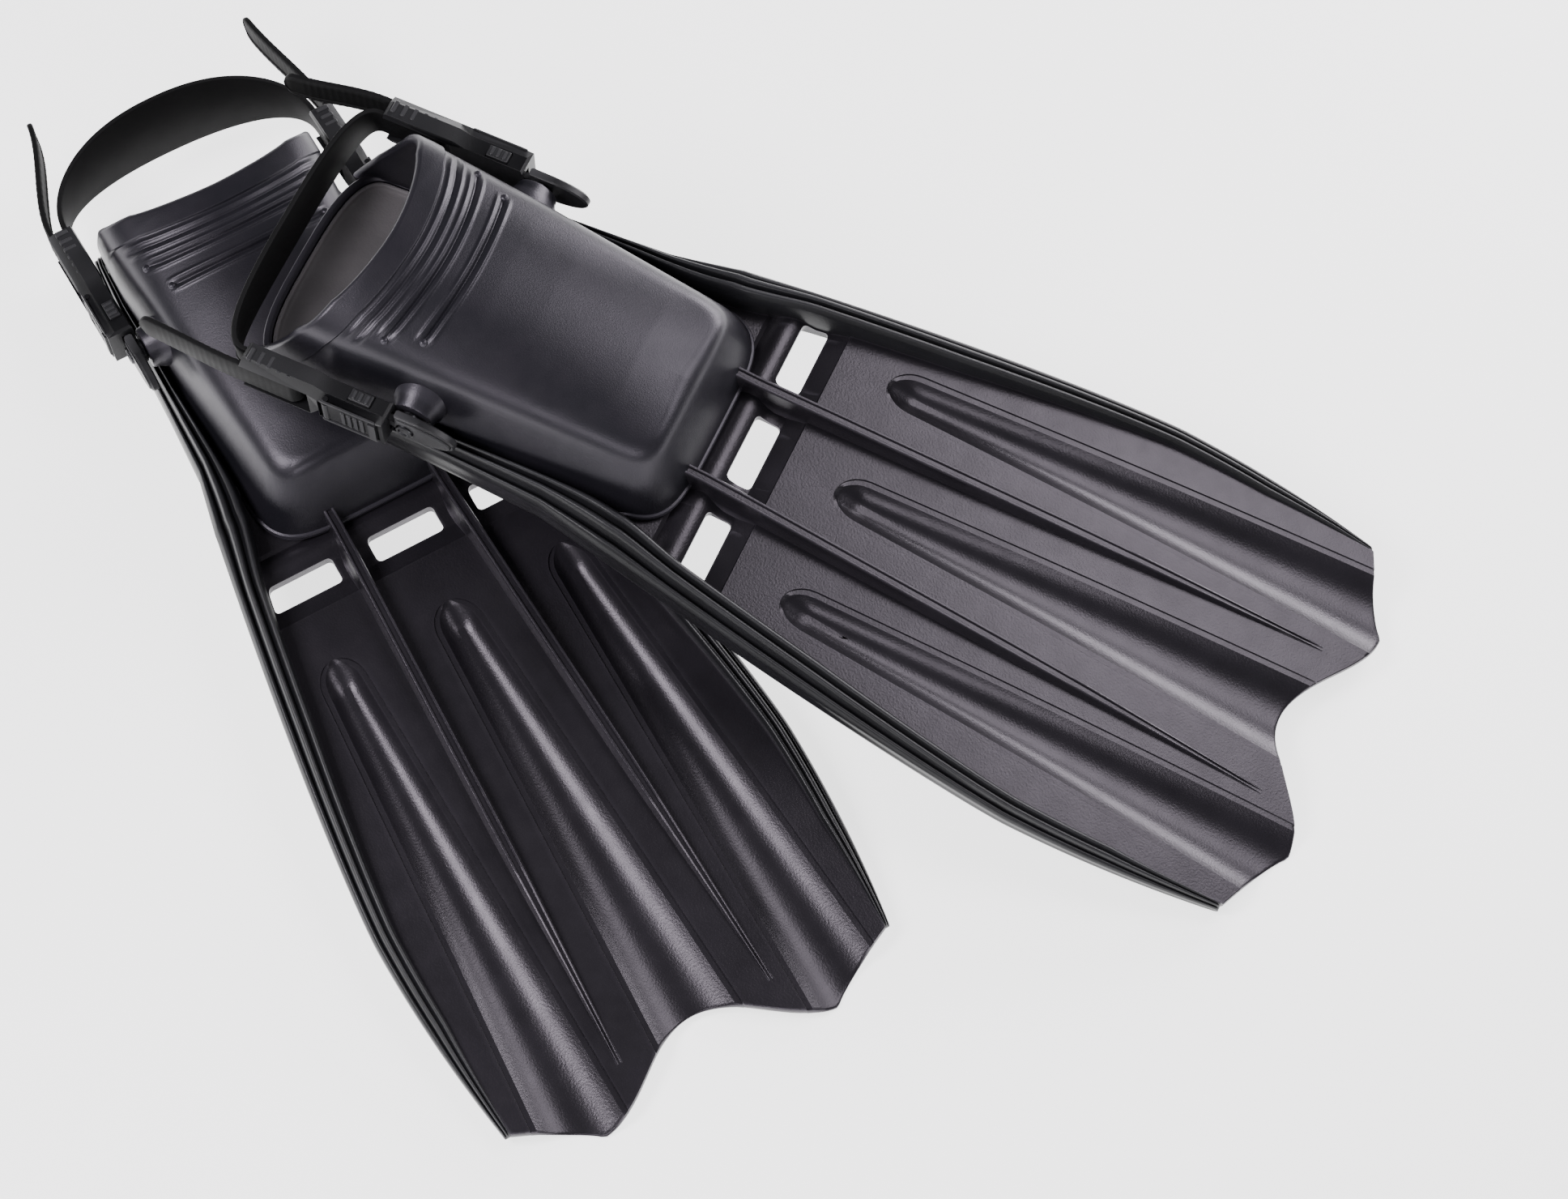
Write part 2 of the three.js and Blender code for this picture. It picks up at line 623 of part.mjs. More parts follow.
// The pair's origin is on the floor, under the middle of the space it takes up.
const space = new THREE.Box3().setFromObject(swimFins, true);
const middle = space.getCenter(new THREE.Vector3());
for (const fin of swimFins.children) {
  fin.position.sub(new THREE.Vector3(middle.x, middle.y, space.min.z));
}

export default swimFins;
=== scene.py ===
"""A crossed pair of open-heel swim fins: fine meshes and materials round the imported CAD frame.

Every mesh is worked out in one fin's own frame, in millimetres: x runs from the heel to the blade tip,
y to the left and z up, with the sole on z = 0. The fin's matrix, read off its joints, then sets it in
the frame. The left buckle's shapes are mirrored for the right one.
"""

import json
import math

import bmesh
import bpy
import numpy as np
from mathutils import Matrix, Vector


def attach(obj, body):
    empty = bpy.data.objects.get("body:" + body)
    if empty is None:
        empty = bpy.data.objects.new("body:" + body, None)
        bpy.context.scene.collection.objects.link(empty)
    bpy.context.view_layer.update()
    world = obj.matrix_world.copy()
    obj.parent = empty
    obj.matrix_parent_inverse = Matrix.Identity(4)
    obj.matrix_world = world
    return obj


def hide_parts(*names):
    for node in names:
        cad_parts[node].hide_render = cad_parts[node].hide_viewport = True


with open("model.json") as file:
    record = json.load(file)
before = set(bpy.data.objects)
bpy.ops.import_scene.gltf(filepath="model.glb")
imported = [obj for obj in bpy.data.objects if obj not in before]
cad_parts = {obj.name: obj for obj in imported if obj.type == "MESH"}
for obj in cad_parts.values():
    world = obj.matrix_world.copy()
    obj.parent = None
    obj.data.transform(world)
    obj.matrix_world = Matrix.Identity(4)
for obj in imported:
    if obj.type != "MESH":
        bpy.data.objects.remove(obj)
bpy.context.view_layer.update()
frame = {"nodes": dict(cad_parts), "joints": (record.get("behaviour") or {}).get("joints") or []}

# ---------------------------------------- driving dimensions, as in the CAD model
GAP = 0.3
HEEL_X = 4
BEND_X = 218
TOE_X = 243
TOE_ROUND_X = 190
WALL = 4.2
BLADE_LENGTH = 376
BLADE_HEIGHT = 13.5
BLADE_HALF_THICKNESS = 2.5
BLADE_SLOPE = math.radians(8.1)
BLADE_BOW = math.radians(4)
NOTCH_DEPTH = 32
LOBE_Y = 66
VENT_START, VENT_END = 37.5, 51.5
VENT_CORNER = 2.6
SCOOP_START = 90
RIB_START, RIB_END = 19, 349
POST_X, POST_Z = 108, 47
BOSS_FACE_Y = 70.5
STRAP_THICKNESS = 3.2
STRAP_HALF_WIDTH = 9.2
BAR_U = 62
BAR_RADIUS = 2.2
INSERT_INNER_Y = BOSS_FACE_Y + 3.1
INSERT_OUTER_Y = INSERT_INNER_Y + 4.4
HOUSING_OUTER_Y = BOSS_FACE_Y + 15
BAR_Y = BOSS_FACE_Y + 8.5
LEVER_PIN_U = 40.5
LEVER_PIN_Y = HOUSING_OUTER_Y - 1.9

# ---------------------------------------- finer shape than the CAD model's
PLATEAU = 3.3
PLATEAU_RISE = 1.7
LIP_DROP = 0.9
LEDGE = 3.2
SCOOP_DEPTH = 6.0
UNDER_SCOOP = 0.9

# Lines given as (places, values). The places lie along x, but up z in RIM_X_AT_HEIGHT and down the
# blade in RIB_Y.
POCKET_HALF_WIDTH = ([HEEL_X, 20, 60, 130, TOE_ROUND_X, TOE_X], [57, 62, 64.5, 65.5, 64.5, 62])
RIDGE_Y = ([20, 56, 130, 226], [60.5, 60, 54, 46])
RIDGE_Z = ([20, 56, 226], [85, 81, 55])
CREST_Z = ([40, 66, 84, 104, 125, 150, 200, 226], [95, 94, 92, 88.5, 84.5, 79, 67, 59.5])
RIM_X_AT_HEIGHT = ([15, 18, 31, 48, 68, 82], [8, 10, 20, 32, 44, 50.5])
RIM_CENTRE_X = 69
BASE_Z = 15
TOE_START = 182
TOE_EDGE_X = 229
# Instep grooves: distance from the rim, depth and how far each reaches to the side.
GROOVES = [(17.5, 0.8, 57), (27.5, 1.3, 51), (41.5, 1.4, 45)]
RIB_Y = ([31, 349], [30, 42.7])
SCOOP_ROUND = 15
RAIL_START = 12
STRAP_TEETH_END = 96
TOOTH_PITCH = 3.9
BUTTON_END = 12.1

# ---------------------------------------- mesh density and shading
WALL_STEPS, FILLET_STEPS, TOP_STEPS = 12, 8, 22
# Columns between one feature line and the next, from the middle of the blade to its edge.
COLUMN_STEPS = [9, 2, 1, 6, 5, 1, 2, 9, 9, 2, 1, 5, 1]
MIDDLE_VENT_COLUMN = sum(COLUMN_STEPS[:3])
SIDE_VENT_COLUMNS = sum(COLUMN_STEPS[:5]), sum(COLUMN_STEPS[:11])
SMOOTH_UNDER = 32  # degrees: softer edges are shaded smooth

# ---------------------------------------- picture
FLOOR_GLOW = 2.4
TARGET = Vector((0.0905, 0.0013, 0.0005))
CAMERA_AZIMUTH = math.radians(62.63)
CAMERA_ELEVATION = math.radians(62.30)
CAMERA_DISTANCE = 1.849
CAMERA_LENS = 81.14
CAMERA_ROLL = math.radians(3.24)


# ---------------------------------------- placing
def joint(name):
    """A joint of the frame, by its name."""
    return next(j for j in frame["joints"] if j["name"] == name)


class Fin:
    """One fin's place in the frame: millimetres in, metres out."""

    def __init__(self, prefix, strap_fit):
        self.prefix = prefix
        self.strap_fit = strap_fit
        swing = joint(f"{prefix}_strap_swing")
        x = -np.array(joint(f"{prefix}_buckle_release")["axis"])
        y = np.array(swing["axis"])
        self.turn = np.column_stack([x, y, np.cross(x, y)]) * 0.001
        self.origin = np.array(swing["pos_m"]) - self.turn @ np.array([POST_X, 0, POST_Z])

    def local(self, point):
        """A point of the frame, in the fin's own millimetres."""
        return np.linalg.solve(self.turn, np.array(point) - self.origin)

    def place(self, points):
        """The fin's own points, in the frame's metres."""
        return np.asarray(points, float).reshape(-1, 3) @ self.turn.T + self.origin


# ---------------------------------------- mesh tools
def grid_faces(rows, columns, wrap=False):
    """Quads between neighbouring points of a grid; wrap closes each row into a ring."""
    faces = []
    for i in range(rows - 1):
        for j in range(columns if wrap else columns - 1):
            a = i * columns + j
            b = i * columns + (j + 1) % columns
            faces.append((a, b, b + columns, a + columns))
    return faces


def loft(rings):
    """A closed solid through equal rings of points, flat at both ends."""
    rings = np.asarray(rings, float)
    count, sides, _ = rings.shape
    faces = grid_faces(count, sides, wrap=True)
    faces.append(tuple(range(sides - 1, -1, -1)))
    faces.append(tuple(range((count - 1) * sides, count * sides)))
    return rings.reshape(-1, 3), faces


def combine(*parts):
    """Several (points, faces) pairs as one."""
    points, faces, start = [], [], 0
    for some, theirs in parts:
        points.append(some)
        faces += [tuple(start + k for k in face) for face in theirs]
        start += len(some)
    return np.concatenate(points), faces


def mirrored(part, side):
    """A part for the left side, 1, or the right side, -1."""
    points, faces = part
    return points * np.array([1, side, 1]), faces


def piece(fin, name, part, material, body, nodes=(), sharp=SMOOTH_UNDER):
    """Makes a mesh object that rides on one of the fin's bodies and stands for its CAD nodes."""
    points, faces = part
    mesh = bpy.data.meshes.new(f"{fin.prefix}_{name}")
    mesh.from_pydata(fin.place(points).tolist(), [], faces)
    work = bmesh.new()
    work.from_mesh(mesh)
    bmesh.ops.remove_doubles(work, verts=work.verts, dist=1e-6)
    bmesh.ops.recalc_face_normals(work, faces=work.faces)
    work.to_mesh(mesh)
    work.free()
    show(fin, mesh, material, body, nodes, sharp)


def show(fin, mesh, material, body, nodes, sharp):
    """Puts a mesh in the scene, smooth but for its sharp edges, on a body and in place of CAD nodes."""
    mesh.materials.append(material)
    mesh.polygons.foreach_set("use_smooth", [True] * len(mesh.polygons))
    mesh.set_sharp_from_angle(angle=math.radians(sharp))
    obj = bpy.data.objects.new(mesh.name, mesh)
    bpy.context.scene.collection.objects.link(obj)
    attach(obj, f"{fin.prefix}_{body}")
    if nodes:
        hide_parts(*[f"{fin.prefix}_{node}" for node in nodes])
    return obj


def soften(obj, width):
    """Rounds an object's hard edges."""
    bevel = obj.modifiers.new("rounded_edges", "BEVEL")
    bevel.width = width * 0.001
    bevel.segments = 2
    bevel.limit_method = "ANGLE"
    bevel.angle_limit = math.radians(SMOOTH_UNDER)
    bevel.harden_normals = True


def revolve(profile, centre, axis, sides=40):
    """Turns a profile of (radius, distance) pairs about an axis, "y" or "z", through a centre."""
    rings = []
    for radius, distance in profile:
        angle = np.linspace(0, 2 * math.pi, sides, endpoint=False)
        a, b = radius * np.cos(angle), radius * np.sin(angle)
        along = np.full(sides, float(distance))
        ring = (a, along, b) if axis == "y" else (a, b, along)
        rings.append(np.stack(ring, axis=-1) + np.array(centre, float))
    return loft(rings)


def slab(outline, y0, y1, chamfer):
    """An outline in x and z, extruded along y, with chamfered rims; its middle draws the rims in."""
    outline = np.array(outline, float)
    middle = outline.mean(axis=0)
    reach = np.linalg.norm(outline - middle, axis=1, keepdims=True)
    inner = middle + (outline - middle) * (1 - chamfer / reach)

    def ring(plan, y):
        return np.stack([plan[:, 0], np.full(len(plan), y), plan[:, 1]], axis=-1)

    return loft([ring(inner, y0), ring(outline, y0 + chamfer), ring(outline, y1 - chamfer), ring(inner, y1)])


def bar(x0, x1, y0, y1, z0, z1, round_off=0.5):
    """A small block with chamfered edges all round."""
    r = round_off
    plan = [(x0 + r, z0), (x1 - r, z0), (x1, z0 + r), (x1, z1 - r),
            (x1 - r, z1), (x0 + r, z1), (x0, z1 - r), (x0, z0 + r)]
    return slab(plan, y0, y1, r)


# ---------------------------------------- the fin's lines
def smooth(t):
    """An S-shaped step from 0 to 1."""
    t = np.clip(t, 0, 1)
    return t * t * (3 - 2 * t)


def slope_at(s):
    """How steeply the blade runs down at distance s from the bend."""
    return BLADE_SLOPE + BLADE_BOW * np.asarray(s, float) / BLADE_LENGTH


LINE_S = np.arange(-60.0, 420.0)
LINE_X = BEND_X + np.interp(LINE_S, LINE_S, np.cumsum(np.cos(slope_at(LINE_S - 0.5))))
LINE_X += BEND_X - np.interp(0, LINE_S, LINE_X)
LINE_Z = -np.cumsum(np.sin(slope_at(LINE_S - 0.5)))
LINE_Z += BLADE_HEIGHT - np.interp(0, LINE_S, LINE_Z)


def blade_point(s, y, n):
    """Distance s down the blade from the bend, y to the left, n above the blade's middle plane."""
    s, y, n = np.broadcast_arrays(*[np.asarray(v, float) for v in (s, y, n)])
    x = np.interp(s, LINE_S, LINE_X) + n * np.sin(slope_at(s))
    z = np.interp(s, LINE_S, LINE_Z) + n * np.cos(slope_at(s))
    return np.stack([x, y, z], axis=-1)


def spine_point(d, y, n):
    """Distance d from the heel: level along the pocket, then down the blade."""
    d, y, n = np.broadcast_arrays(*[np.asarray(v, float) for v in (d, y, n)])
    level = np.stack([d, y, BLADE_HEIGHT + n], axis=-1)
    return np.where((d <= BEND_X)[..., None], level, blade_point(d - BEND_X, y, n))


def outer_half_width(d):
    """Half the fin's width over its side rails."""
    d = np.asarray(d, float)
    widest = BEND_X + 238
    beyond = 118 - 9 * (np.maximum(d - widest, 0) / 112) ** 2
    flare = 118 - 31.5 * (np.clip(widest - d, 0, 238) / 238) ** 1.32
    beside = np.interp(d, [12, 60, 130, 180, BEND_X], [66, 71.5, 75, 78.5, 86.5])
    return np.select([d >= widest, d >= BEND_X], [beyond, flare], beside)


def rail_inner_half_width(d):
    """Half the width between the rails: beside the pocket, then along the blade."""
    d = np.asarray(d, float)
    beside = np.interp(np.minimum(d, TOE_ROUND_X), *POCKET_HALF_WIDTH) + GAP + 0.1
    blend = smooth((d - TOE_ROUND_X + 6) / 76)
    rail = np.interp(d, [BEND_X, BEND_X + 120, BEND_X + 290, BEND_X + 352], [16, 15, 10, 3.5])
    return beside * (1 - blend) + (outer_half_width(d) - rail) * blend


def blade_end(y):
    """Where the blade ends: two lobes and a notch between them."""
    side = np.abs(y)
    rise = 0.5 - 0.5 * np.cos(math.pi * np.minimum(side, LOBE_Y) / LOBE_Y)
    corner = 24 * (np.maximum(side - LOBE_Y, 0) / 44) ** 0.8
    return BLADE_LENGTH - NOTCH_DEPTH * (1 - rise) - corner


# ---------------------------------------- blade
def scoop_widths(s):
    """Half width of the middle scoop, and half width and centre of a side scoop."""
    t = np.clip((s - SCOOP_START) / (BLADE_LENGTH - SCOOP_START), 0, 1)
    rounded = np.sqrt(1 - (1 - np.clip((s - SCOOP_START) / SCOOP_ROUND, 0, 1)) ** 2)
    middle = np.maximum((12.5 + 13.5 * t) * rounded, 0.8)
    side = np.maximum((12 + 12 * t) * rounded, 0.8)
    return middle, side, 66 + 8 * t


def blade_columns(s):
    """The columns' y for one row: they follow the scoops' edges, and near the root the vents' ends."""
    middle, side, centre = scoop_widths(s)
    edge = float(rail_inner_half_width(BEND_X + s)) + 0.5
    rib = np.interp(s, *RIB_Y)
    vent = 1 - smooth((s - 56) / 32)
    past = max(0, VENT_CORNER - max(0, min(s - VENT_START, VENT_END - s)))
    corner = VENT_CORNER - math.sqrt(max(0, VENT_CORNER ** 2 - past ** 2))
    low = (centre - side) * (1 - vent) + (39.8 + corner) * vent
    high = (centre + side) * (1 - vent) + (edge - 1.3 - corner) * vent
    inner = middle * (1 - vent) + (19.3 - corner) * vent
    ledge = min(LEDGE, 0.45 * float(side))
    centre = (low + high) / 2
    knots = [0, inner - ledge, inner - 0.45, inner, rib, low, low + 0.45, low + ledge, centre,
             high - ledge, high - 0.45, high, max(high + 0.2, edge - 1.2), edge]
    half = [np.linspace(a, b, n, endpoint=False) for a, b, n in zip(knots, knots[1:], COLUMN_STEPS)]
    half = np.append(np.concatenate(half), edge)
    return np.concatenate([-half[:0:-1], half])


def scoop_drop(s, y):
    """How far the top lies below the plateau: a small lip at a scoop's edge, then the trough."""
    middle, side, centre = scoop_widths(s)
    beside = np.abs(np.abs(y) - centre) < np.abs(y)
    half = np.where(beside, side, middle)
    offset = np.where(beside, np.abs(np.abs(y) - centre), np.abs(y))
    inner = half - np.minimum(LEDGE, 0.45 * side)
    start = np.clip((s - SCOOP_START) / SCOOP_ROUND, 0, 1)
    trough = SCOOP_DEPTH * start * (1 - np.clip(offset / inner, 0, 1) ** 2.2)
    inside = (offset < half - 0.2) & (s > SCOOP_START)
    return np.where(inside, LIP_DROP * np.minimum(1, start * 6) + trough, 0)


def root_top(s):
    """The top's height near the root: a rounded mound before the vents and a ramp after them."""
    mound = 0.6 + 4.6 * np.sin(math.pi * np.clip((s - 20) / 21, 0, 1))
    ramp = np.interp(s, [VENT_END, 61.4, 62.0], [-0.6, 1.9, PLATEAU])
    return np.where(s < (VENT_START + VENT_END) / 2, np.where(s < 20, 2.5, mound), ramp)


def blade_rows():
    """Distances down the blade of the panel's rows, close together where the height changes."""
    near = [-24, -12, -4, 2, 8, 14, 19, 21, 23, 25, 27, 29, 31, 33, 34.5, 36, 37]
    vent = VENT_START + np.array([0, 0.3, 0.9, 1.7, 2.6, 7, 11.4, 12.3, 13.1, 13.7, 14])
    ramp = [52.3, 54, 57, 60, 61.4, 62, 62.6, 64, 68, 74, 80, 86, 89]
    scoop = SCOOP_START + np.array([0, 0.15, 0.5, 1.1, 2, 3.2, 4.7, 6.5, 8.7, 11.2, 15])
    length = np.linspace(110, 370, 80)
    tip = BLADE_LENGTH - np.array([4, 2.6, 1.5, 0.8, 0.3, 0])
    return np.concatenate([near, vent, ramp, scoop, length, tip])


def panel_rows():
    """For each row of the panel: its distance down the blade and its y, column by column."""
    stations = np.arange(100.0, BLADE_LENGTH + 1, 2)
    table = np.array([blade_columns(s) for s in stations])
    for t in blade_rows():
        y = blade_columns(t)
        s = np.full(len(y), float(t))
        if t > 130:
            reach = ((t - 130) / (BLADE_LENGTH - 130)) ** 2
            for _ in range(4):
                s = t + (blade_end(y) - BLADE_LENGTH) * reach
                y = np.array([np.interp(s[j], stations, table[:, j]) for j in range(len(y))])
        yield t, s, y


def blade_panel():
    """The blade's panel: a top and an underside, with walls round its edge and its vents."""
    rows = blade_rows()
    top, bottom = [], []
    for t, s, y in panel_rows():
        drop = scoop_drop(s, y)
        rise = PLATEAU_RISE * smooth((s - SCOOP_START) / 170)
        part = drop / (SCOOP_DEPTH + LIP_DROP)
        high = root_top(t) + rise - drop
        low = -BLADE_HALF_THICKNESS - UNDER_SCOOP * part + rise * (1 - part)
        edge = max(0, 1 - (BLADE_LENGTH - t) / 1.5)
        round_off = max(0.12, math.sqrt(1 - edge ** 2))
        middle = (high + low) / 2
        top.append(blade_point(s, y, middle + (high - middle) * round_off))
        bottom.append(blade_point(s, y, middle + (low - middle) * round_off))
    columns = len(top[0])
    centre = columns // 2
    first, last = np.searchsorted(rows, [VENT_START, VENT_END])

    def open_cell(i, j):
        if not first <= i < last:
            return False
        away = j - centre if j >= centre else centre - j - 1
        low, high = SIDE_VENT_COLUMNS
        return away < MIDDLE_VENT_COLUMN or low <= away < high

    cells = [(i, j) for i in range(len(rows) - 1) for j in range(columns - 1) if not open_cell(i, j)]
    under = len(rows) * columns
    faces, edges = [], {}
    for i, j in cells:
        a = i * columns + j
        quad = (a, a + 1, a + 1 + columns, a + columns)
        faces.append(quad)
        faces.append(tuple(under + k for k in reversed(quad)))
        for p, q in zip(quad, quad[1:] + quad[:1]):
            edges[(p, q)] = True
    for p, q in edges:
        if (q, p) not in edges:
            faces.append((q, p, under + p, under + q))
    return np.concatenate([np.concatenate(top), np.concatenate(bottom)]), faces


def blade_rib(side):
    """A stiffening rib: a narrow wall with a flared foot and a groove along its crest."""
    rings = []
    for t in np.linspace(0, 1, 60):
        s = RIB_START + (RIB_END - RIB_START) * t
        middle = side * np.interp(s, *RIB_Y)
        floor_n = PLATEAU + PLATEAU_RISE * float(smooth((s - SCOOP_START) / 170))
        height = floor_n + 0.3 + 12.8 * (1 - t) ** 0.8
        narrow = 1 - 0.6 * smooth((t - 0.55) / 0.45)
        flare = min(1.5, (height - floor_n) * 0.4)
        half = [(5.2, -1.0), (4.3, floor_n - 0.1), (3.4, floor_n + flare), (3.0, height - 0.8),
                (2.6, height - 0.15), (2.0, height), (1.5, height - 0.1), (0.9, height - 1.1)]
        section = [(-w, n) for w, n in half] + [(w, n) for w, n in reversed(half)]
        rings.append([blade_point(s, middle + w * narrow, n) for w, n in section])
    return loft(rings)


def root_tongue():
    """The blade's root, held in the sole."""
    return bar(170, 224, -40, 40, 6.5, 11.5)


def blade(fin, material):
    """The panel with its two ribs, and its root in the sole, as one moulding."""
    part = combine(blade_panel(), blade_rib(1), blade_rib(-1), root_tongue())
    piece(fin, "blade_moulding", part, material, "fin", ["blade"], sharp=28)


# ---------------------------------------- side rails
def rail_section(top, bottom):
    """Points across the rail as (part of its width, height): three rounded beads, stepping down."""
    points = [(0.02, bottom), (0, bottom * 0.5), (0, top * 0.8)]
    for start, end, height in ((0.04, 0.3, 1.0), (0.36, 0.62, 0.93), (0.7, 0.92, 0.6)):
        for t in np.linspace(0, 1, 6):
            crown = math.sin(math.pi * t) ** 0.5
            points.append((start + (end - start) * t, top * height * (0.84 + 0.16 * crown)))
    points += [(0.985, top * 0.42), (1, top * 0.34), (0.985, top * 0.2), (0.97, 0.02 * top),
               (0.985, bottom * 0.12), (1, bottom * 0.3), (0.985, bottom * 0.55), (0.9, bottom * 0.85),
               (0.75, bottom), (0.4, bottom)]
    return points


def rail(side):
    """A side rail, tapering and rounded off at both ends."""
    top_line = ([RAIL_START, 50, 100, 165, BEND_X + 40, BEND_X + 150, BEND_X + 250, BEND_X + 330, BEND_X + 352],
                [5, 13, 20.5, 22, 20, 15, 10.5, 7, 5.2])
    bottom_line = ([RAIL_START, 60, BEND_X, BEND_X + 150, BEND_X + 352], [7, 8, 9, 6.5, 3])
    end = BEND_X + float(blade_end(106)) - 0.5
    rounding = RAIL_START + np.array([0, 0.5, 1.5, 3])
    stations = np.concatenate([rounding, np.linspace(RAIL_START + 5, end - 3, 130),
                               [end - 1.8, end - 0.8, end - 0.2, end]])
    rings = []
    for d in stations:
        inner = float(rail_inner_half_width(d))
        width = float(outer_half_width(d)) - inner
        rounded = math.sqrt(max(0.02, 1 - max(0, 1 - min(d - RAIL_START, end - d) / 3) ** 2))
        top = np.interp(d, *top_line) * rounded
        bottom = -np.interp(d, *bottom_line) * rounded
        across = [(side * (inner + width * part), n) for part, n in rail_section(top, bottom)]
        rings.append([spine_point(d, y, n) for y, n in across])
    return loft(rings)


def rails(fin, material):
    """Both side rails, which run from the heel to the blade's corners."""
    for label, side in (("left", 1), ("right", -1)):
        piece(fin, f"{label}_rail_moulding", rail(side), material, "fin",
              [f"{label}_rail"], sharp=50)


# ---------------------------------------- foot pocket

def top_height(x, y):
    """The height of the pocket's top, a low crown between the two ridges."""
    ridge_y, ridge_z, crest = (np.interp(x, *line) for line in (RIDGE_Y, RIDGE_Z, CREST_Z))
    return ridge_z + (crest - ridge_z) * (1 - (np.abs(y) / ridge_y) ** 2.2)


def meridian(base, corner, target):
    """From the sole up one side, over the rounded ridge and across the top to the middle."""
    base = np.array([*base, toe_base(base[0])])
    corner = np.array([*corner, top_height(*corner)])
    target = np.array([*target, top_height(*target)])
    rise = corner - base
    rounding = float(np.interp(base[0], [56, 120], [13, 6.5]))
    bend = rounding / np.linalg.norm(rise)
    outward = np.array([base[0] - target[0], base[1], 0.0])
    outward /= max(np.linalg.norm(outward), 1e-6)
    points = []
    for v in np.linspace(0, 1 - bend, WALL_STEPS):
        points.append(base + rise * v + outward * 1.5 * math.sin(math.pi * v / (1 - bend) * 0.8))
    inward = (target - corner)[:2]
    reach = (rounding + 1) / max(np.linalg.norm(inward), 20)
    low = points[-1]
    plan = corner[:2] + inward * reach
    high = np.array([*plan, top_height(*plan)])
    for t in np.linspace(0, 1, FILLET_STEPS + 1)[1:]:
        points.append((1 - t) ** 2 * low + 2 * t * (1 - t) * corner + t * t * high)
    for u in np.linspace(reach, 1, TOP_STEPS + 1)[1:]:
        plan = corner[:2] + inward * u
        points.append(np.array([*plan, top_height(*plan)]))
    return np.array(points)


def toe_base(x):
    """The pocket's lower edge: on the sole, and past the bend just over the blade."""
    return float(np.interp(x, [BEND_X - 1, BEND_X + 4, TOE_X], [BASE_Z, 16.4, 13.6]))


def body_meridian(x):
    """The meridian straight across the pocket at x."""
    half = float(np.interp(x, *POCKET_HALF_WIDTH))
    return meridian((x, half), (x, float(np.interp(x, *RIDGE_Y))), (x, 0))


def rim_x(points):
    """Where the heel opening's edge crosses each line of the pocket."""
    side = np.interp(points[:, 2], *RIM_X_AT_HEIGHT)
    ridge = float(np.interp(56, *RIDGE_Y))
    over = RIM_CENTRE_X - (RIM_CENTRE_X - RIM_X_AT_HEIGHT[1][-1]) * (np.abs(points[:, 1]) / ridge) ** 2
    on_top = np.arange(len(points)) >= WALL_STEPS + 2
    rim = np.where(on_top, np.maximum(over, side), side)
    for _ in range(5):
        rim[1:-1] = (rim[:-2] + 2 * rim[1:-1] + rim[2:]) / 4
    return rim


def toe_meridian(angle):
    """Meridians fan round the toe; angle runs from the side, 0, to the front, a quarter turn."""
    def around(start, end, half, power):
        forward = math.sin(angle) ** (2 / power)
        return start + (end - start) * forward, half * max(0, math.cos(angle)) ** (2 / power)

    base = around(TOE_START, TOE_X, float(np.interp(TOE_START, *POCKET_HALF_WIDTH)), 5.0)
    corner = around(TOE_START, TOE_EDGE_X, float(np.interp(TOE_START, *RIDGE_Y)), 7.0)
    narrow = float(np.interp(corner[0], *RIDGE_Y)) / float(np.interp(TOE_START, *RIDGE_Y))
    corner = (corner[0], corner[1] * narrow)
    return meridian(base, corner, (TOE_START + 22 * math.sin(angle), 0))


def toe_angles():
    """More meridians where the toe's corner turns."""
    t = np.linspace(0, 1, 56)[1:]
    return math.pi / 2 * (t + 0.11 * np.sin(2 * math.pi * t))


def shaped_pocket():
    """The pocket's left half as a grid of points, and how far each row lies from the rim."""
    stations = [body_meridian(x) for x in np.linspace(8, TOE_START, 120)]
    xs = np.array([m[:, 0] for m in stations])
    stack = np.array(stations)
    rim = rim_x(body_meridian(56))
    rows, distance = [], []
    steps = np.concatenate([np.linspace(0, 0.43, 140), np.linspace(0.43, 1, 36)[1:]])
    for g in steps:
        x = rim + (TOE_START - rim) * g
        y = [np.interp(x[k], xs[:, k], stack[:, k, 1]) for k in range(len(x))]
        z = [np.interp(x[k], xs[:, k], stack[:, k, 2]) for k in range(len(x))]
        rows.append(np.stack([x, y, z], axis=-1))
        distance.append((TOE_START - RIM_CENTRE_X) * g)
    for angle in toe_angles():
        rows.append(toe_meridian(angle))
        distance.append(TOE_START)
    return np.array(rows), np.array(distance)


def normals(grid):
    """Outward normals of a half pocket's grid."""
    down = np.gradient(grid, axis=0)
    across = np.gradient(grid, axis=1)
    out = np.cross(across, down)
    out /= np.maximum(np.linalg.norm(out, axis=-1, keepdims=True), 1e-9)
    middle = np.array([120.0, 0, 40])
    facing = np.sum(out * (grid - middle), axis=-1).mean()
    out *= np.sign(facing)
    out[:, -1, 1] = 0
    out[-1, :, 1] = 0
    return out / np.maximum(np.linalg.norm(out, axis=-1, keepdims=True), 1e-9)


def relief(grid, distance):
    """Raised lip round the heel opening, and grooves across the instep with ridges beside them."""
    away = distance[:, None]
    y = np.abs(grid[..., 1])
    raised = 1.2 * (1 - smooth((away - 10.8) / 0.9)) * smooth((grid[..., 2] - 35) / 38)
    for centre, depth, end in GROOVES:
        fade = 1 - smooth((y - end + 3) / 3)
        near = np.exp(-((away - centre) / 0.85) ** 2)
        shoulder = np.exp(-((away - centre - 3.0) / 0.9) ** 2) + np.exp(-((away - centre + 3.0) / 0.9) ** 2)
        raised = raised + fade * (0.65 * shoulder - depth * near)
    return raised


def both_halves(half):
    """A half grid and its mirror image as rows from one edge over the top to the other."""
    other = half[:, ::-1] * np.array([1, -1, 1])
    return np.concatenate([half, other[:, 1:]], axis=1)


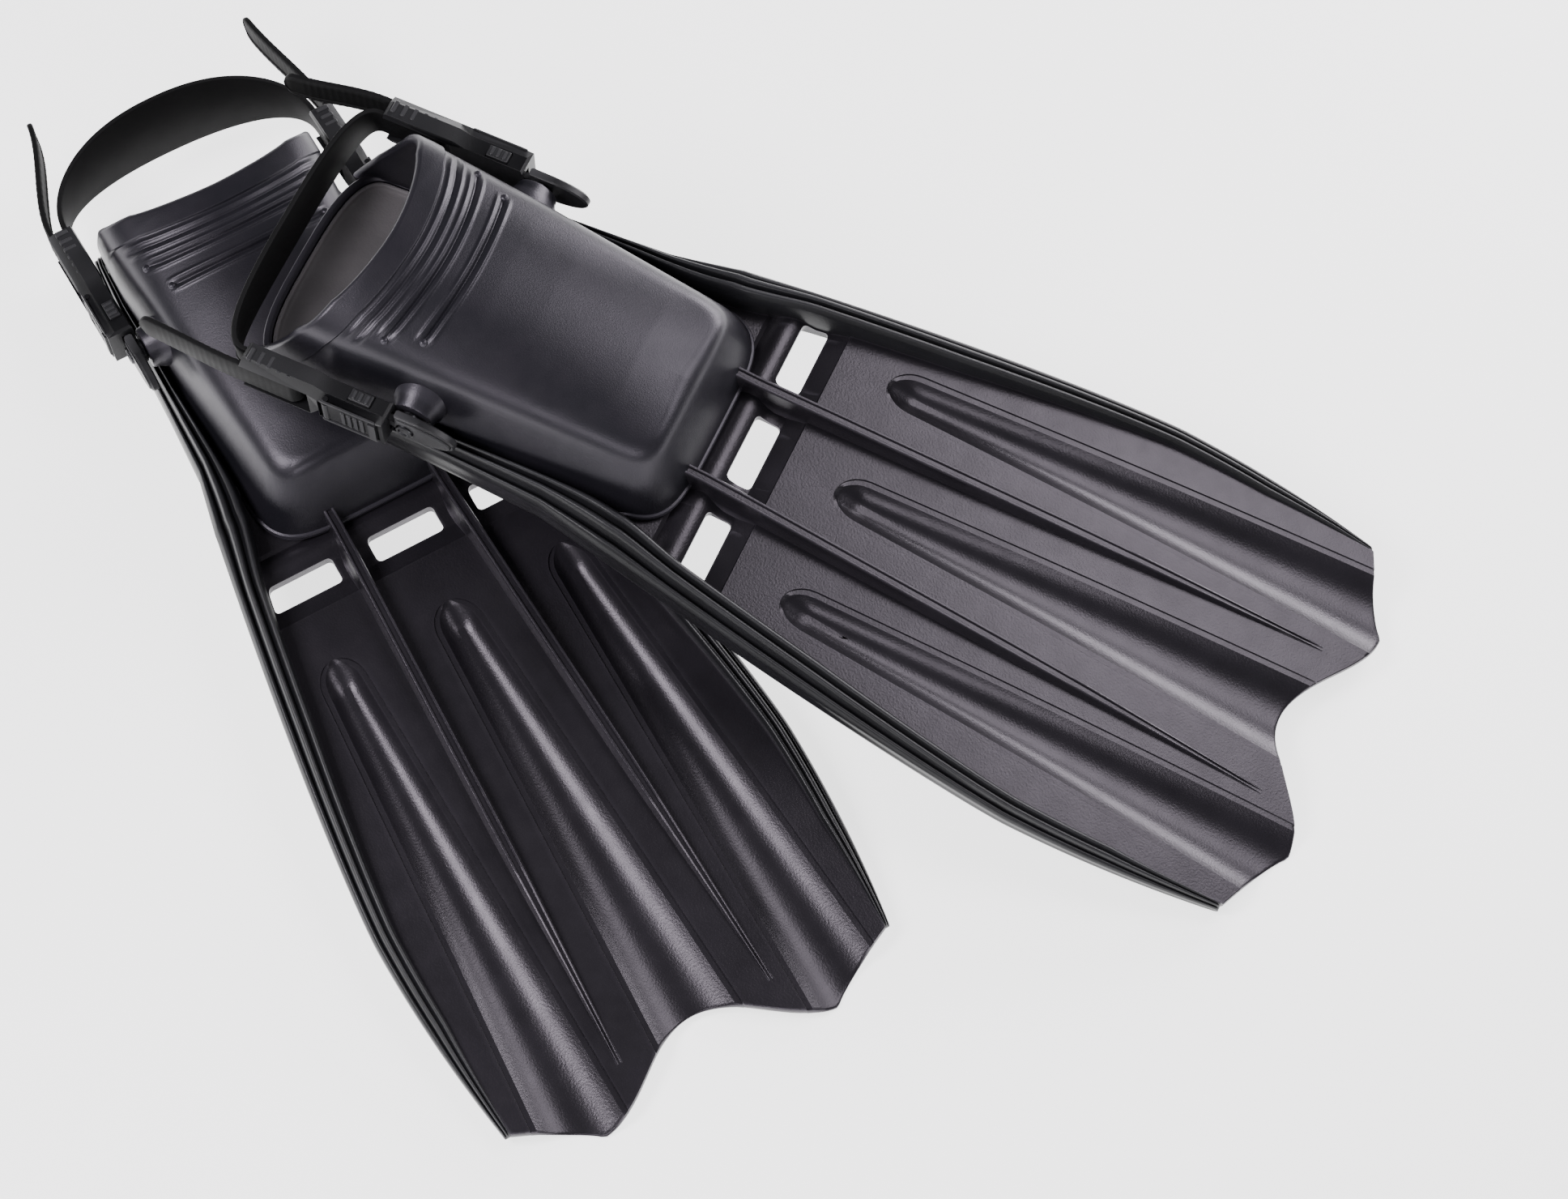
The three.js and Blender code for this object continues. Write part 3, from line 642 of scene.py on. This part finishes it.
def pocket_shell():
    """The pocket's wall, with a rounded rim at the heel opening and closed along the sole."""
    half, distance = shaped_pocket()
    out = normals(half)
    outer = half + out * relief(half, distance)[..., None]
    inner = half - out * WALL
    inner[..., 1] = np.maximum(inner[..., 1], 0)
    inner[-1, :, 1] = 0
    outer_rim, inner_rim = outer[0], inner[0]
    centre = (outer_rim + inner_rim) / 2
    radius = outer_rim - centre
    back = half[0] - half[1]
    back /= np.linalg.norm(back, axis=-1, keepdims=True)
    back *= np.linalg.norm(radius, axis=-1, keepdims=True)
    rim = [centre + radius * math.cos(a) + back * math.sin(a) for a in np.radians([150, 120, 90, 60, 30])]
    grid = both_halves(np.concatenate([inner[::-1], rim, outer]))
    rows, columns, _ = grid.shape
    faces = grid_faces(rows, columns)
    for column in (0, columns - 1):
        for i in range(len(inner) - 1):
            j = rows - 1 - i
            faces.append((i * columns + column, (i + 1) * columns + column,
                          (j - 1) * columns + column, j * columns + column))
        middle = [(i * columns + column) for i in range(len(inner) - 1, len(inner) + 6)]
        faces.append(tuple(middle))
    return grid.reshape(-1, 3), faces


def base_outline(front):
    """The sole's outline: a rounded heel, the pocket's sides and a straight or rounded front."""
    heel = []
    for angle in np.linspace(math.pi / 2, 0, 14):
        x = 34 - (34 - HEEL_X) * math.sin(angle) ** (2 / 3.2)
        heel.append((x, 62.9 * max(0, math.cos(angle)) ** (2 / 3.2)))
    sides = [(x, float(np.interp(x, *POCKET_HALF_WIDTH))) for x in np.linspace(40, front - 1, 30)]
    half = heel + sides + [(front, float(np.interp(front, *POCKET_HALF_WIDTH)) - 1)]
    return np.array(half + [(x, -y) for x, y in reversed(half[1:])])


def inset(outline, amount):
    """Draws a closed outline in along its own normals."""
    ahead = np.roll(outline, -1, axis=0) - np.roll(outline, 1, axis=0)
    ahead /= np.maximum(np.linalg.norm(ahead, axis=1, keepdims=True), 1e-9)
    out = np.stack([-ahead[:, 1], ahead[:, 0]], axis=-1)
    return outline - out * amount


def layers(outline, levels):
    """Rings of an outline, one for each (height, inset) pair."""
    if np.sum(inset(outline, 1.0)[:, 1] ** 2) > np.sum(outline[:, 1] ** 2):
        outline = outline[::-1]
    return loft([np.column_stack([inset(outline, amount), np.full(len(outline), z)]) for z, amount in levels])


def sole():
    """The sole with a bevelled edge, a low wall for the footbed and small treads under it."""
    levels = [(0.9, 3.2), (1.6, 1.4), (3.2, 0.3), (8, 0), (14.5, 0), (17.6, 0.1), (18.2, 0.7),
              (18.2, 3.0), (17, 4.4), (13.5, 4.8)]
    treads = [tread(26 + 21 * i + 6 * (j % 2), 15.5 * j) for i in range(9) for j in range(-3, 4)]
    return combine(layers(base_outline(BEND_X - 0.5), levels), *treads)


def footbed(fin, material):
    """The flat bed inside the pocket, with a raised bead round its border."""
    levels = [(13.6, 5.0), (16.2, 5.0), (17.0, 5.3), (17.4, 6.0), (17.4, 6.8), (17.0, 7.5), (16.0, 7.9),
              (15.6, 8.6), (15.5, 10)]
    part = layers(base_outline(BEND_X - 12), levels)
    piece(fin, "footbed", part, material, "fin", sharp=40)


def tread(x, y):
    """One raised bar under the sole."""
    plan = np.array([(math.cos(a), math.sin(a)) for a in np.linspace(0, 2 * math.pi, 16, endpoint=False)])
    plan = np.sign(plan) * np.abs(plan) ** 0.6
    rings = [np.column_stack([x + plan[:, 0] * (6 - r), y + plan[:, 1] * (5 - r), np.full(16, z)])
             for z, r in ((1.4, 0), (0.5, 0.1), (0.02, 0.6))]
    return loft(rings)


def tube(path, radius, sides=8):
    """A round bead along a path of points."""
    path = np.asarray(path, float)
    ahead = np.gradient(path, axis=0)
    ahead /= np.linalg.norm(ahead, axis=1, keepdims=True)
    side = np.cross(ahead, [0, 0, 1.0])
    side /= np.linalg.norm(side, axis=1, keepdims=True)
    up = np.cross(side, ahead)
    rings = []
    for i, point in enumerate(path):
        size = radius * (0.35 if i in (0, len(path) - 1) else 1)
        angles = np.linspace(0, 2 * math.pi, sides, endpoint=False)
        rings.append([point + size * (math.cos(a) * side[i] + math.sin(a) * up[i]) for a in angles])
    return loft(rings)


def welt():
    """The bead where the pocket meets the sole and, round the toe, the blade."""
    half = [body_meridian(x)[1] + np.array([0, -0.4, 0]) for x in np.linspace(150, TOE_START, 12)]
    half += [toe_meridian(a)[1] for a in np.linspace(0, math.pi / 2, 40)[1:]]
    half = [np.array([p[0], p[1], toe_base(p[0]) + 2.2]) for p in half]
    return tube(half + [p * np.array([1, -1, 1]) for p in reversed(half[:-1])], 1.5)


def groove_dots():
    """Small studs at the ends of the instep grooves."""
    studs = []
    half, distance = shaped_pocket()
    for centre, _, end in GROOVES[1:]:
        row = int(np.argmin(np.abs(distance - centre)))
        line = half[row]
        k = int(np.argmin(np.abs(line[:, 1] - end) + (np.arange(len(line)) < WALL_STEPS) * 99))
        for side in (1, -1):
            place = line[k] * np.array([1, side, 1])
            profile = [(2.1, -1.5), (2.0, 0.3), (1.5, 0.9), (0.6, 1.15)]
            studs.append(revolve(profile, place, "z", sides=16))
    return studs


def bosses():
    """The round bosses on the pocket's sides, which hold the pivot pins."""
    profile = [(14.5, 58), (13.2, 64.5), (11.6, 67), (11.2, 69.6), (10.6, BOSS_FACE_Y)]
    return [mirrored(revolve(profile, (POST_X, 0, POST_Z), "y", sides=48), side) for side in (1, -1)]


def foot_pocket(fin, material):
    """The pocket with its sole, welt, studs and bosses, as one moulding."""
    part = combine(pocket_shell(), sole(), welt(), *groove_dots(), *bosses())
    piece(fin, "pocket_moulding", part, material, "fin", ["foot_pocket"], sharp=40)


# ---------------------------------------- heel strap
def strap_path(fit, tail):
    """Half of the strap's centre line: (x, y, z, half width) from the tail round the bar to the heel."""
    turn = BAR_RADIUS + GAP + STRAP_THICKNESS / 2
    bar_x = POST_X - BAR_U
    outside, inside = BAR_Y + turn, BAR_Y - turn
    points = []
    tail_x, tail_y, tail_z = tail
    for t in np.linspace(0, 1, 72, endpoint=False):
        bend = smooth(t)
        end = math.sqrt(1 - max(0, 1 - t * 9) ** 2)
        points.append((tail_x + (16 - tail_x) * t, tail_y + (outside - tail_y) * bend,
                       tail_z + (POST_Z - tail_z) * bend, max(STRAP_HALF_WIDTH * end, 1.6)))
    for x in np.linspace(16, bar_x, 26):
        points.append((x, outside, POST_Z, STRAP_HALF_WIDTH))
    for angle in np.linspace(math.pi / 2, -math.pi / 2, 18)[1:]:
        points.append((bar_x + turn * math.cos(angle), BAR_Y + turn * math.sin(angle), POST_Z,
                       STRAP_HALF_WIDTH))
    for x in np.linspace(bar_x, 19, 14)[1:-1]:
        points.append((x, inside, POST_Z, STRAP_HALF_WIDTH))
    for angle in np.linspace(0, math.pi / 2, 60):
        power = 2 / fit["exponent"]
        widen = math.sin(angle) ** 1.5
        points.append((19 - (19 - fit["heel_x"]) * math.sin(angle) ** power,
                       inside * max(0, math.cos(angle)) ** power,
                       POST_Z + (fit["heel_z"] - POST_Z) * widen,
                       STRAP_HALF_WIDTH + (fit["heel_half_width"] - STRAP_HALF_WIDTH) * widen))
    return np.array(points)


def strap_section(half, thickness):
    """A flat section with rounded edges; its outer face is sunk between two rims."""
    t = thickness / 2
    edge = min(1.2, half * 0.4)
    rim = min(3.2, half * 0.35)
    face = [(-t, -half + edge), (-t, half - edge), (-t * 0.7, half - 0.3), (0, half), (t * 0.7, half - 0.3),
            (t, half - edge), (t, half - rim), (t - 0.5, half - rim - 0.4),
            (t - 0.5, -half + rim + 0.4), (t, -half + rim), (t, -half + edge),
            (t * 0.7, -half + 0.3), (0, -half), (-t * 0.7, -half + 0.3)]
    return [(-a, b) for a, b in face]


def strap(fin, material):
    """The strap from tail to tail, with fine teeth along both tails."""
    half = strap_path(fin.strap_fit, fin.strap_fit["left_tail"])
    other = strap_path(fin.strap_fit, fin.strap_fit["right_tail"])
    line = np.concatenate([half, other[-2::-1] * np.array([1, -1, 1, 1])])
    ahead = np.gradient(line[:, :2], axis=0)
    ahead /= np.maximum(np.linalg.norm(ahead, axis=1, keepdims=True), 1e-9)
    offset = np.stack([-ahead[:, 1], ahead[:, 0]], axis=-1)
    travelled = np.concatenate([[0], np.cumsum(np.linalg.norm(np.diff(line[:, :3], axis=0), axis=1))])
    total = travelled[-1]
    rings = []
    for i, (x, y, z, width) in enumerate(line):
        from_end = min(travelled[i], total - travelled[i])
        toothed = smooth((from_end - 8) / 6) * (1 - smooth((from_end - STRAP_TEETH_END) / 8))
        tooth = 0.35 * toothed * (0.5 + 0.5 * math.cos(2 * math.pi * from_end / TOOTH_PITCH)) ** 3
        thickness = STRAP_THICKNESS * (0.72 + 0.28 * smooth(from_end / 4)) + tooth
        rings.append([(x + a * offset[i, 0], y + a * offset[i, 1], z + b)
                      for a, b in strap_section(width, thickness)])
    piece(fin, "strap_moulding", loft(rings), material, "strap", ["heel_strap"], sharp=38)


# ---------------------------------------- buckles
def softened_node(fin, node, material, body, width, reshape=None):
    """A CAD node's own shape with rounded edges, and reshaped a little where that is asked for."""
    source = frame["nodes"][f"{fin.prefix}_{node}"]
    mesh = source.data.copy()
    mesh.name = f"{fin.prefix}_{node}_moulding"
    mesh.materials.clear()
    work = bmesh.new()
    work.from_mesh(mesh)
    bmesh.ops.transform(work, matrix=source.matrix_world, verts=work.verts)
    bmesh.ops.remove_doubles(work, verts=work.verts, dist=1e-6)
    bmesh.ops.dissolve_limit(work, angle_limit=math.radians(1), verts=work.verts, edges=work.edges)
    if reshape:
        for vertex in work.verts:
            local = fin.local(vertex.co)
            vertex.co = Vector(fin.place(reshape(*local))[0])
    work.to_mesh(mesh)
    work.free()
    soften(show(fin, mesh, material, body, (node,), SMOOTH_UNDER), width)


def slope_housing(x, y, z):
    """Slopes the housing's outer and inner long corners."""
    high = abs(z - POST_Z)
    if high > 10.4:
        if abs(y) > HOUSING_OUTER_Y - 1:
            y = math.copysign(HOUSING_OUTER_Y - 4.6, y)
        elif abs(y) < BOSS_FACE_Y + 1.5:
            y = math.copysign(BOSS_FACE_Y + 1.8, y)
    return x, y, z


def leaf_outline(shrink):
    """The swivel insert's leaf shape in x and z, drawn in by shrink."""
    top = []
    for t in np.linspace(0, 1, 18):
        u = -27 + 21 * (1 - math.cos(math.pi / 2 * t))
        top.append((u + shrink * (1 - t), (9.2 - shrink) * math.sin(math.pi / 2 * t)))
    half = top + [(6.0 - shrink, 9.2 - shrink)]
    loop = half + [(u, -v) for u, v in reversed(half[1:])]
    return [(POST_X - u, POST_Z + v) for u, v in loop]


def swivel_insert():
    """Leaf with a raised panel, and the neck that the buttons hold."""
    leaf = slab(leaf_outline(0), INSERT_INNER_Y, INSERT_OUTER_Y, 0.8)
    panel = slab(leaf_outline(1.9), INSERT_OUTER_Y - 0.5, INSERT_OUTER_Y + 0.8, 0.5)
    neck = bar(POST_X - 27, POST_X - 4, INSERT_INNER_Y + 0.2, INSERT_OUTER_Y - 0.2,
               POST_Z - 2.7, POST_Z + 2.7)
    return combine(leaf, panel, neck)


def ridge(u, half_length, y0, y1, v0, v1, edge):
    """A raised bar on a buckle: u behind the pivot, and from v0 to v1 above it."""
    z0, z1 = sorted((POST_Z + v0, POST_Z + v1))
    return bar(POST_X - u - half_length, POST_X - u + half_length, y0, y1, z0, z1, edge)


def lever_trim():
    """Grip ridges across the locking lever."""
    face = HOUSING_OUTER_Y
    return combine(*[ridge(u, 1.1, face - 0.6, face + 0.6, -6.2, 6.2, 0.45) for u in (20, 23.5, 27, 30.5)])


def housing_trim():
    """Ridges along both sides of the strap frame, and a rail along both sides of the lever's recess."""
    parts = []
    for sign in (1, -1):
        for u in np.arange(51, 85, 5.5):
            reach = 11 + 2.5 * (u - 44) / 44
            parts.append(ridge(u, 1.2, BOSS_FACE_Y + 4.2, HOUSING_OUTER_Y - 3.6,
                               sign * (reach - 1.5), sign * (reach + 1.1), 0.45))
        parts.append(ridge(27.5, 15.5, HOUSING_OUTER_Y - 0.5, HOUSING_OUTER_Y + 0.4,
                           sign * 8.6, sign * 10.4, 0.35))
    return combine(*parts)


def button_trim(sign):
    """Finger ridges on the outer end of a release button."""
    ends = sign * BUTTON_END, sign * (BUTTON_END + 1)
    sides = INSERT_INNER_Y + 0.4, INSERT_INNER_Y + 5.4
    return combine(*[ridge(u, 0.9, *sides, *ends, 0.35) for u in (20.5, 24, 27.5)])


def pivot_pin():
    """Flange, stem and a headed end with a shallow dish."""
    face = BOSS_FACE_Y
    profile = [(5.8, face + 0.3), (6.6, face + 0.9), (6.6, INSERT_INNER_Y - 0.5), (3.9, INSERT_INNER_Y - 0.4),
               (3.9, INSERT_OUTER_Y + 0.25), (4.6, INSERT_OUTER_Y + 0.3), (4.9, INSERT_OUTER_Y + 0.8),
               (4.8, INSERT_OUTER_Y + 1.5), (4.3, INSERT_OUTER_Y + 2.0), (3.2, INSERT_OUTER_Y + 2.0),
               (2.6, INSERT_OUTER_Y + 1.4), (0.3, INSERT_OUTER_Y + 1.2)]
    return revolve(profile, (POST_X, 0, POST_Z), "y")


def pin_along_z(x, y, radius, half_length):
    """A plain pin across the buckle, with chamfered ends."""
    profile = [(radius - 0.3, -half_length), (radius, -half_length + 0.4), (radius, half_length - 0.4),
               (radius - 0.3, half_length)]
    return revolve(profile, (x, y, POST_Z), "z", sides=28)


def buckle(fin, label, side, looks):
    """One buckle: housing, lever, insert, buttons and pins."""
    plastic, steel = looks["buckle"], looks["steel"]
    softened_node(fin, f"{label}_buckle_housing", plastic, "strap", 0.5, slope_housing)
    softened_node(fin, f"{label}_locking_lever", plastic, f"{label}_locking_lever", 0.35)
    piece(fin, f"{label}_insert_leaf", mirrored(swivel_insert(), side), plastic, "swivels",
          [f"{label}_swivel_insert"])
    piece(fin, f"{label}_lever_grip", mirrored(lever_trim(), side), plastic, f"{label}_locking_lever")
    piece(fin, f"{label}_frame_ridges", mirrored(housing_trim(), side), plastic, "strap")
    for name, sign in (("upper_button", 1), ("lower_button", -1)):
        softened_node(fin, f"{label}_{name}", plastic, f"{label}_{name}", 0.6)
        piece(fin, f"{label}_{name}_grip", mirrored(button_trim(sign), side), plastic, f"{label}_{name}")
    piece(fin, f"{label}_pivot_stud", mirrored(pivot_pin(), side), steel, "fin",
          [f"{label}_pivot_pin"])
    pins = (("lever", LEVER_PIN_U, LEVER_PIN_Y, 1.2, 10, "lever_pin"),
            ("bar", BAR_U, BAR_Y, BAR_RADIUS, 9.7, "strap_bar"))
    for name, u, y, radius, half_length, node in pins:
        part = mirrored(pin_along_z(POST_X - u, y, radius, half_length), side)
        piece(fin, f"{label}_{name}_rod", part, steel, "strap", [f"{label}_{node}"])


# ---------------------------------------- materials
def node_material(name):
    """A new material, with its node tree, shader and texture coordinates."""
    material = bpy.data.materials.new(name)
    material.use_nodes = True
    nodes, links = material.node_tree.nodes, material.node_tree.links
    shader = nodes["Principled BSDF"]
    coordinates = nodes.new("ShaderNodeTexCoord")
    return material, nodes, links, shader, coordinates


def noise(nodes, links, coordinates, scale, detail=4.0):
    """A noise texture fixed to the object."""
    texture = nodes.new("ShaderNodeTexNoise")
    texture.inputs["Scale"].default_value = scale
    texture.inputs["Detail"].default_value = detail
    links.new(coordinates.outputs["Object"], texture.inputs["Vector"])
    return texture.outputs["Fac"]


def ramp(nodes, links, source, low, high, start=0.35, end=0.65):
    """A two-colour ramp driven by source."""
    node = nodes.new("ShaderNodeValToRGB")
    node.color_ramp.elements[0].position = start
    node.color_ramp.elements[1].position = end
    node.color_ramp.elements[0].color = (*low, 1)
    node.color_ramp.elements[1].color = (*high, 1)
    links.new(source, node.inputs["Fac"])
    return node.outputs["Color"]


def moulded(name, low, high, roughness, grain, grain_height, worn, specular=0.5, tint=(1, 1, 1)):
    """Moulded rubber or plastic: mottled colour, lighter worn edges, fine grain and uneven gloss."""
    material, nodes, links, shader, coordinates = node_material(name)
    mottle = noise(nodes, links, coordinates, 26, 6)
    colour = ramp(nodes, links, mottle, low, high)
    geometry = nodes.new("ShaderNodeNewGeometry")
    edge = nodes.new("ShaderNodeMapRange")
    edge.inputs["From Min"].default_value = 0.52
    edge.inputs["From Max"].default_value = 0.62
    links.new(geometry.outputs["Pointiness"], edge.inputs["Value"])
    mix = nodes.new("ShaderNodeMix")
    mix.data_type = "RGBA"
    mix.inputs["B"].default_value = (*worn, 1)
    links.new(edge.outputs["Result"], mix.inputs["Factor"])
    links.new(colour, mix.inputs["A"])
    links.new(mix.outputs["Result"], shader.inputs["Base Color"])

    gloss = nodes.new("ShaderNodeMapRange")
    gloss.inputs["To Min"].default_value = roughness - 0.05
    gloss.inputs["To Max"].default_value = roughness + 0.07
    links.new(noise(nodes, links, coordinates, 90, 5), gloss.inputs["Value"])
    links.new(gloss.outputs["Result"], shader.inputs["Roughness"])
    shader.inputs["Specular IOR Level"].default_value = specular
    shader.inputs["Specular Tint"].default_value = (*tint, 1)

    bump = nodes.new("ShaderNodeBump")
    bump.inputs["Strength"].default_value = 0.25
    bump.inputs["Distance"].default_value = grain_height
    links.new(noise(nodes, links, coordinates, grain, 3), bump.inputs["Height"])
    links.new(bump.outputs["Normal"], shader.inputs["Normal"])
    return material


def steel_material():
    """Dark steel, brushed along one direction."""
    material, nodes, links, shader, coordinates = node_material("brushed_steel")
    stretch = nodes.new("ShaderNodeMapping")
    stretch.inputs["Scale"].default_value = (1, 1, 14)
    links.new(coordinates.outputs["Object"], stretch.inputs["Vector"])
    brush = nodes.new("ShaderNodeTexNoise")
    brush.inputs["Scale"].default_value = 300
    links.new(stretch.outputs["Vector"], brush.inputs["Vector"])
    links.new(ramp(nodes, links, brush.outputs["Fac"], (0.035, 0.035, 0.038), (0.07, 0.07, 0.075)),
              shader.inputs["Base Color"])
    shader.inputs["Metallic"].default_value = 1
    shader.inputs["Roughness"].default_value = 0.34
    return material


def make_looks():
    """Every material of the fins, by the sub-part that it is for."""
    return {
        "blade": moulded("blade_plastic", (0.0105, 0.0095, 0.012), (0.015, 0.0135, 0.017), 0.3,
                         900, 0.0004, (0.06, 0.055, 0.066), tint=(0.97, 0.9, 1)),
        "pocket": moulded("pocket_rubber", (0.009, 0.009, 0.012), (0.013, 0.012, 0.016), 0.36,
                          1300, 0.0003, (0.05, 0.047, 0.058), tint=(0.95, 0.9, 1)),
        "footbed": moulded("footbed_rubber", (0.115, 0.108, 0.112), (0.15, 0.14, 0.145), 0.6,
                           700, 0.0008, (0.24, 0.23, 0.24), specular=0.3),
        "rail": moulded("rail_rubber", (0.007, 0.007, 0.008), (0.011, 0.011, 0.013), 0.34,
                        1100, 0.0003, (0.05, 0.05, 0.056), specular=0.35),
        "strap": moulded("strap_rubber", (0.002, 0.002, 0.002), (0.004, 0.004, 0.004), 0.62,
                         1500, 0.0003, (0.016, 0.016, 0.017), specular=0.12),
        "buckle": moulded("buckle_plastic", (0.004, 0.004, 0.005), (0.008, 0.008, 0.009), 0.36,
                          1400, 0.0002, (0.045, 0.045, 0.048), specular=0.3),
        "steel": steel_material(),
    }


# ---------------------------------------- stage, light and camera
def floor():
    """A wide, pale, faintly glowing floor, which is scenery."""
    mesh = bpy.data.meshes.new("studio_floor")
    size = 6.0
    corners = [(-size, -size, 0), (size, -size, 0), (size, size, 0), (-size, size, 0)]
    mesh.from_pydata(corners, [], [(0, 1, 2, 3)])
    material, nodes, links, shader, coordinates = node_material("pale_floor")
    pale = ramp(nodes, links, noise(nodes, links, coordinates, 3), (0.9, 0.9, 0.9), (0.92, 0.92, 0.92))
    links.new(pale, shader.inputs["Base Color"])
    links.new(pale, shader.inputs["Emission Color"])
    shader.inputs["Emission Strength"].default_value = FLOOR_GLOW
    shader.inputs["Roughness"].default_value = 0.9
    shader.inputs["Specular IOR Level"].default_value = 0.1
    mesh.materials.append(material)
    obj = bpy.data.objects.new("studio_floor", mesh)
    bpy.context.scene.collection.objects.link(obj)


def camera():
    """The camera, on a line at its azimuth and elevation through the target, and rolled a little."""
    back = Vector((math.sin(CAMERA_AZIMUTH) * math.cos(CAMERA_ELEVATION),
                   -math.cos(CAMERA_AZIMUTH) * math.cos(CAMERA_ELEVATION),
                   math.sin(CAMERA_ELEVATION)))
    data = bpy.data.cameras.new("camera")
    data.lens = CAMERA_LENS
    data.sensor_width = 36
    data.clip_start, data.clip_end = 0.05, 50
    obj = bpy.data.objects.new("camera", data)
    obj.location = TARGET + back * CAMERA_DISTANCE
    turn = (-back).to_track_quat("-Z", "Y").to_matrix() @ Matrix.Rotation(-CAMERA_ROLL, 3, "Z")
    obj.rotation_mode = "QUATERNION"
    obj.rotation_quaternion = turn.to_quaternion()
    bpy.context.scene.collection.objects.link(obj)
    bpy.context.scene.camera = obj


def picture_direction(right, up, height):
    """A direction given as seen in the picture: to its right, towards its top, and above the floor."""
    forward = Vector((-math.sin(CAMERA_AZIMUTH), math.cos(CAMERA_AZIMUTH), 0))
    sideways = Vector((math.cos(CAMERA_AZIMUTH), math.sin(CAMERA_AZIMUTH), 0))
    return (sideways * right + forward * up + Vector((0, 0, height))).normalized()


def softbox(name, direction, distance, width, length, power, centre=(0, 0, 0.05), colour=(1, 1, 1)):
    data = bpy.data.lights.new(name, "AREA")
    data.shape = "RECTANGLE"
    data.size, data.size_y = width, length
    data.energy = power
    data.color = colour
    obj = bpy.data.objects.new(name, data)
    obj.location = Vector(centre) + direction * distance
    obj.rotation_mode = "QUATERNION"
    obj.rotation_quaternion = (-direction).to_track_quat("-Z", "Y")
    bpy.context.scene.collection.objects.link(obj)


def lights():
    """Four softboxes: one above, one beyond the fins, one to the left and one near the viewer."""
    tint = (0.99, 0.96, 1)
    fins_middle, heels, left_heel = (0.15, 0.1, 0.05), (0.05, -0.1, 0.05), (-0.1, -0.05, 0.05)
    softbox("overhead_softbox", picture_direction(0.6, 0.25, 1.0), 1.5, 0.85, 0.75, 13, fins_middle, tint)
    softbox("far_softbox", picture_direction(0.62, 0.78, 0.34), 1.6, 1.0, 0.6, 27, fins_middle, tint)
    softbox("left_softbox", picture_direction(-0.8, -0.16, 1.0), 1.4, 0.55, 0.6, 18, heels, tint)
    softbox("front_softbox", picture_direction(-0.2, -1.6, 1.0), 1.5, 0.7, 0.35, 5, left_heel, tint)
    world = bpy.data.worlds.new("studio")
    world.use_nodes = True
    background = world.node_tree.nodes["Background"]
    background.inputs["Color"].default_value = (0.97, 0.97, 1.0, 1)
    background.inputs["Strength"].default_value = 0.12
    bpy.context.scene.world = world


# ---------------------------------------- the pair
looks = make_looks()
# Each strap: how far back, high, square and wide it is at the heel, and where its tails end.
fins = (
    Fin("lower", {"heel_x": -25, "heel_z": 50, "exponent": 2.2, "heel_half_width": 22.5,
                  "left_tail": (-60, 70, 57), "right_tail": (-57, 63, 57)}),
    Fin("upper", {"heel_x": 2, "heel_z": 43, "exponent": 3, "heel_half_width": 16,
                  "left_tail": (-42, 78, 41), "right_tail": (-42, 78, 41)}),
)
for fin in fins:
    blade(fin, looks["blade"])
    rails(fin, looks["rail"])
    foot_pocket(fin, looks["pocket"])
    footbed(fin, looks["footbed"])
    strap(fin, looks["strap"])
    for label, side in (("left", 1), ("right", -1)):
        buckle(fin, label, side, looks)

floor()
camera()
lights()
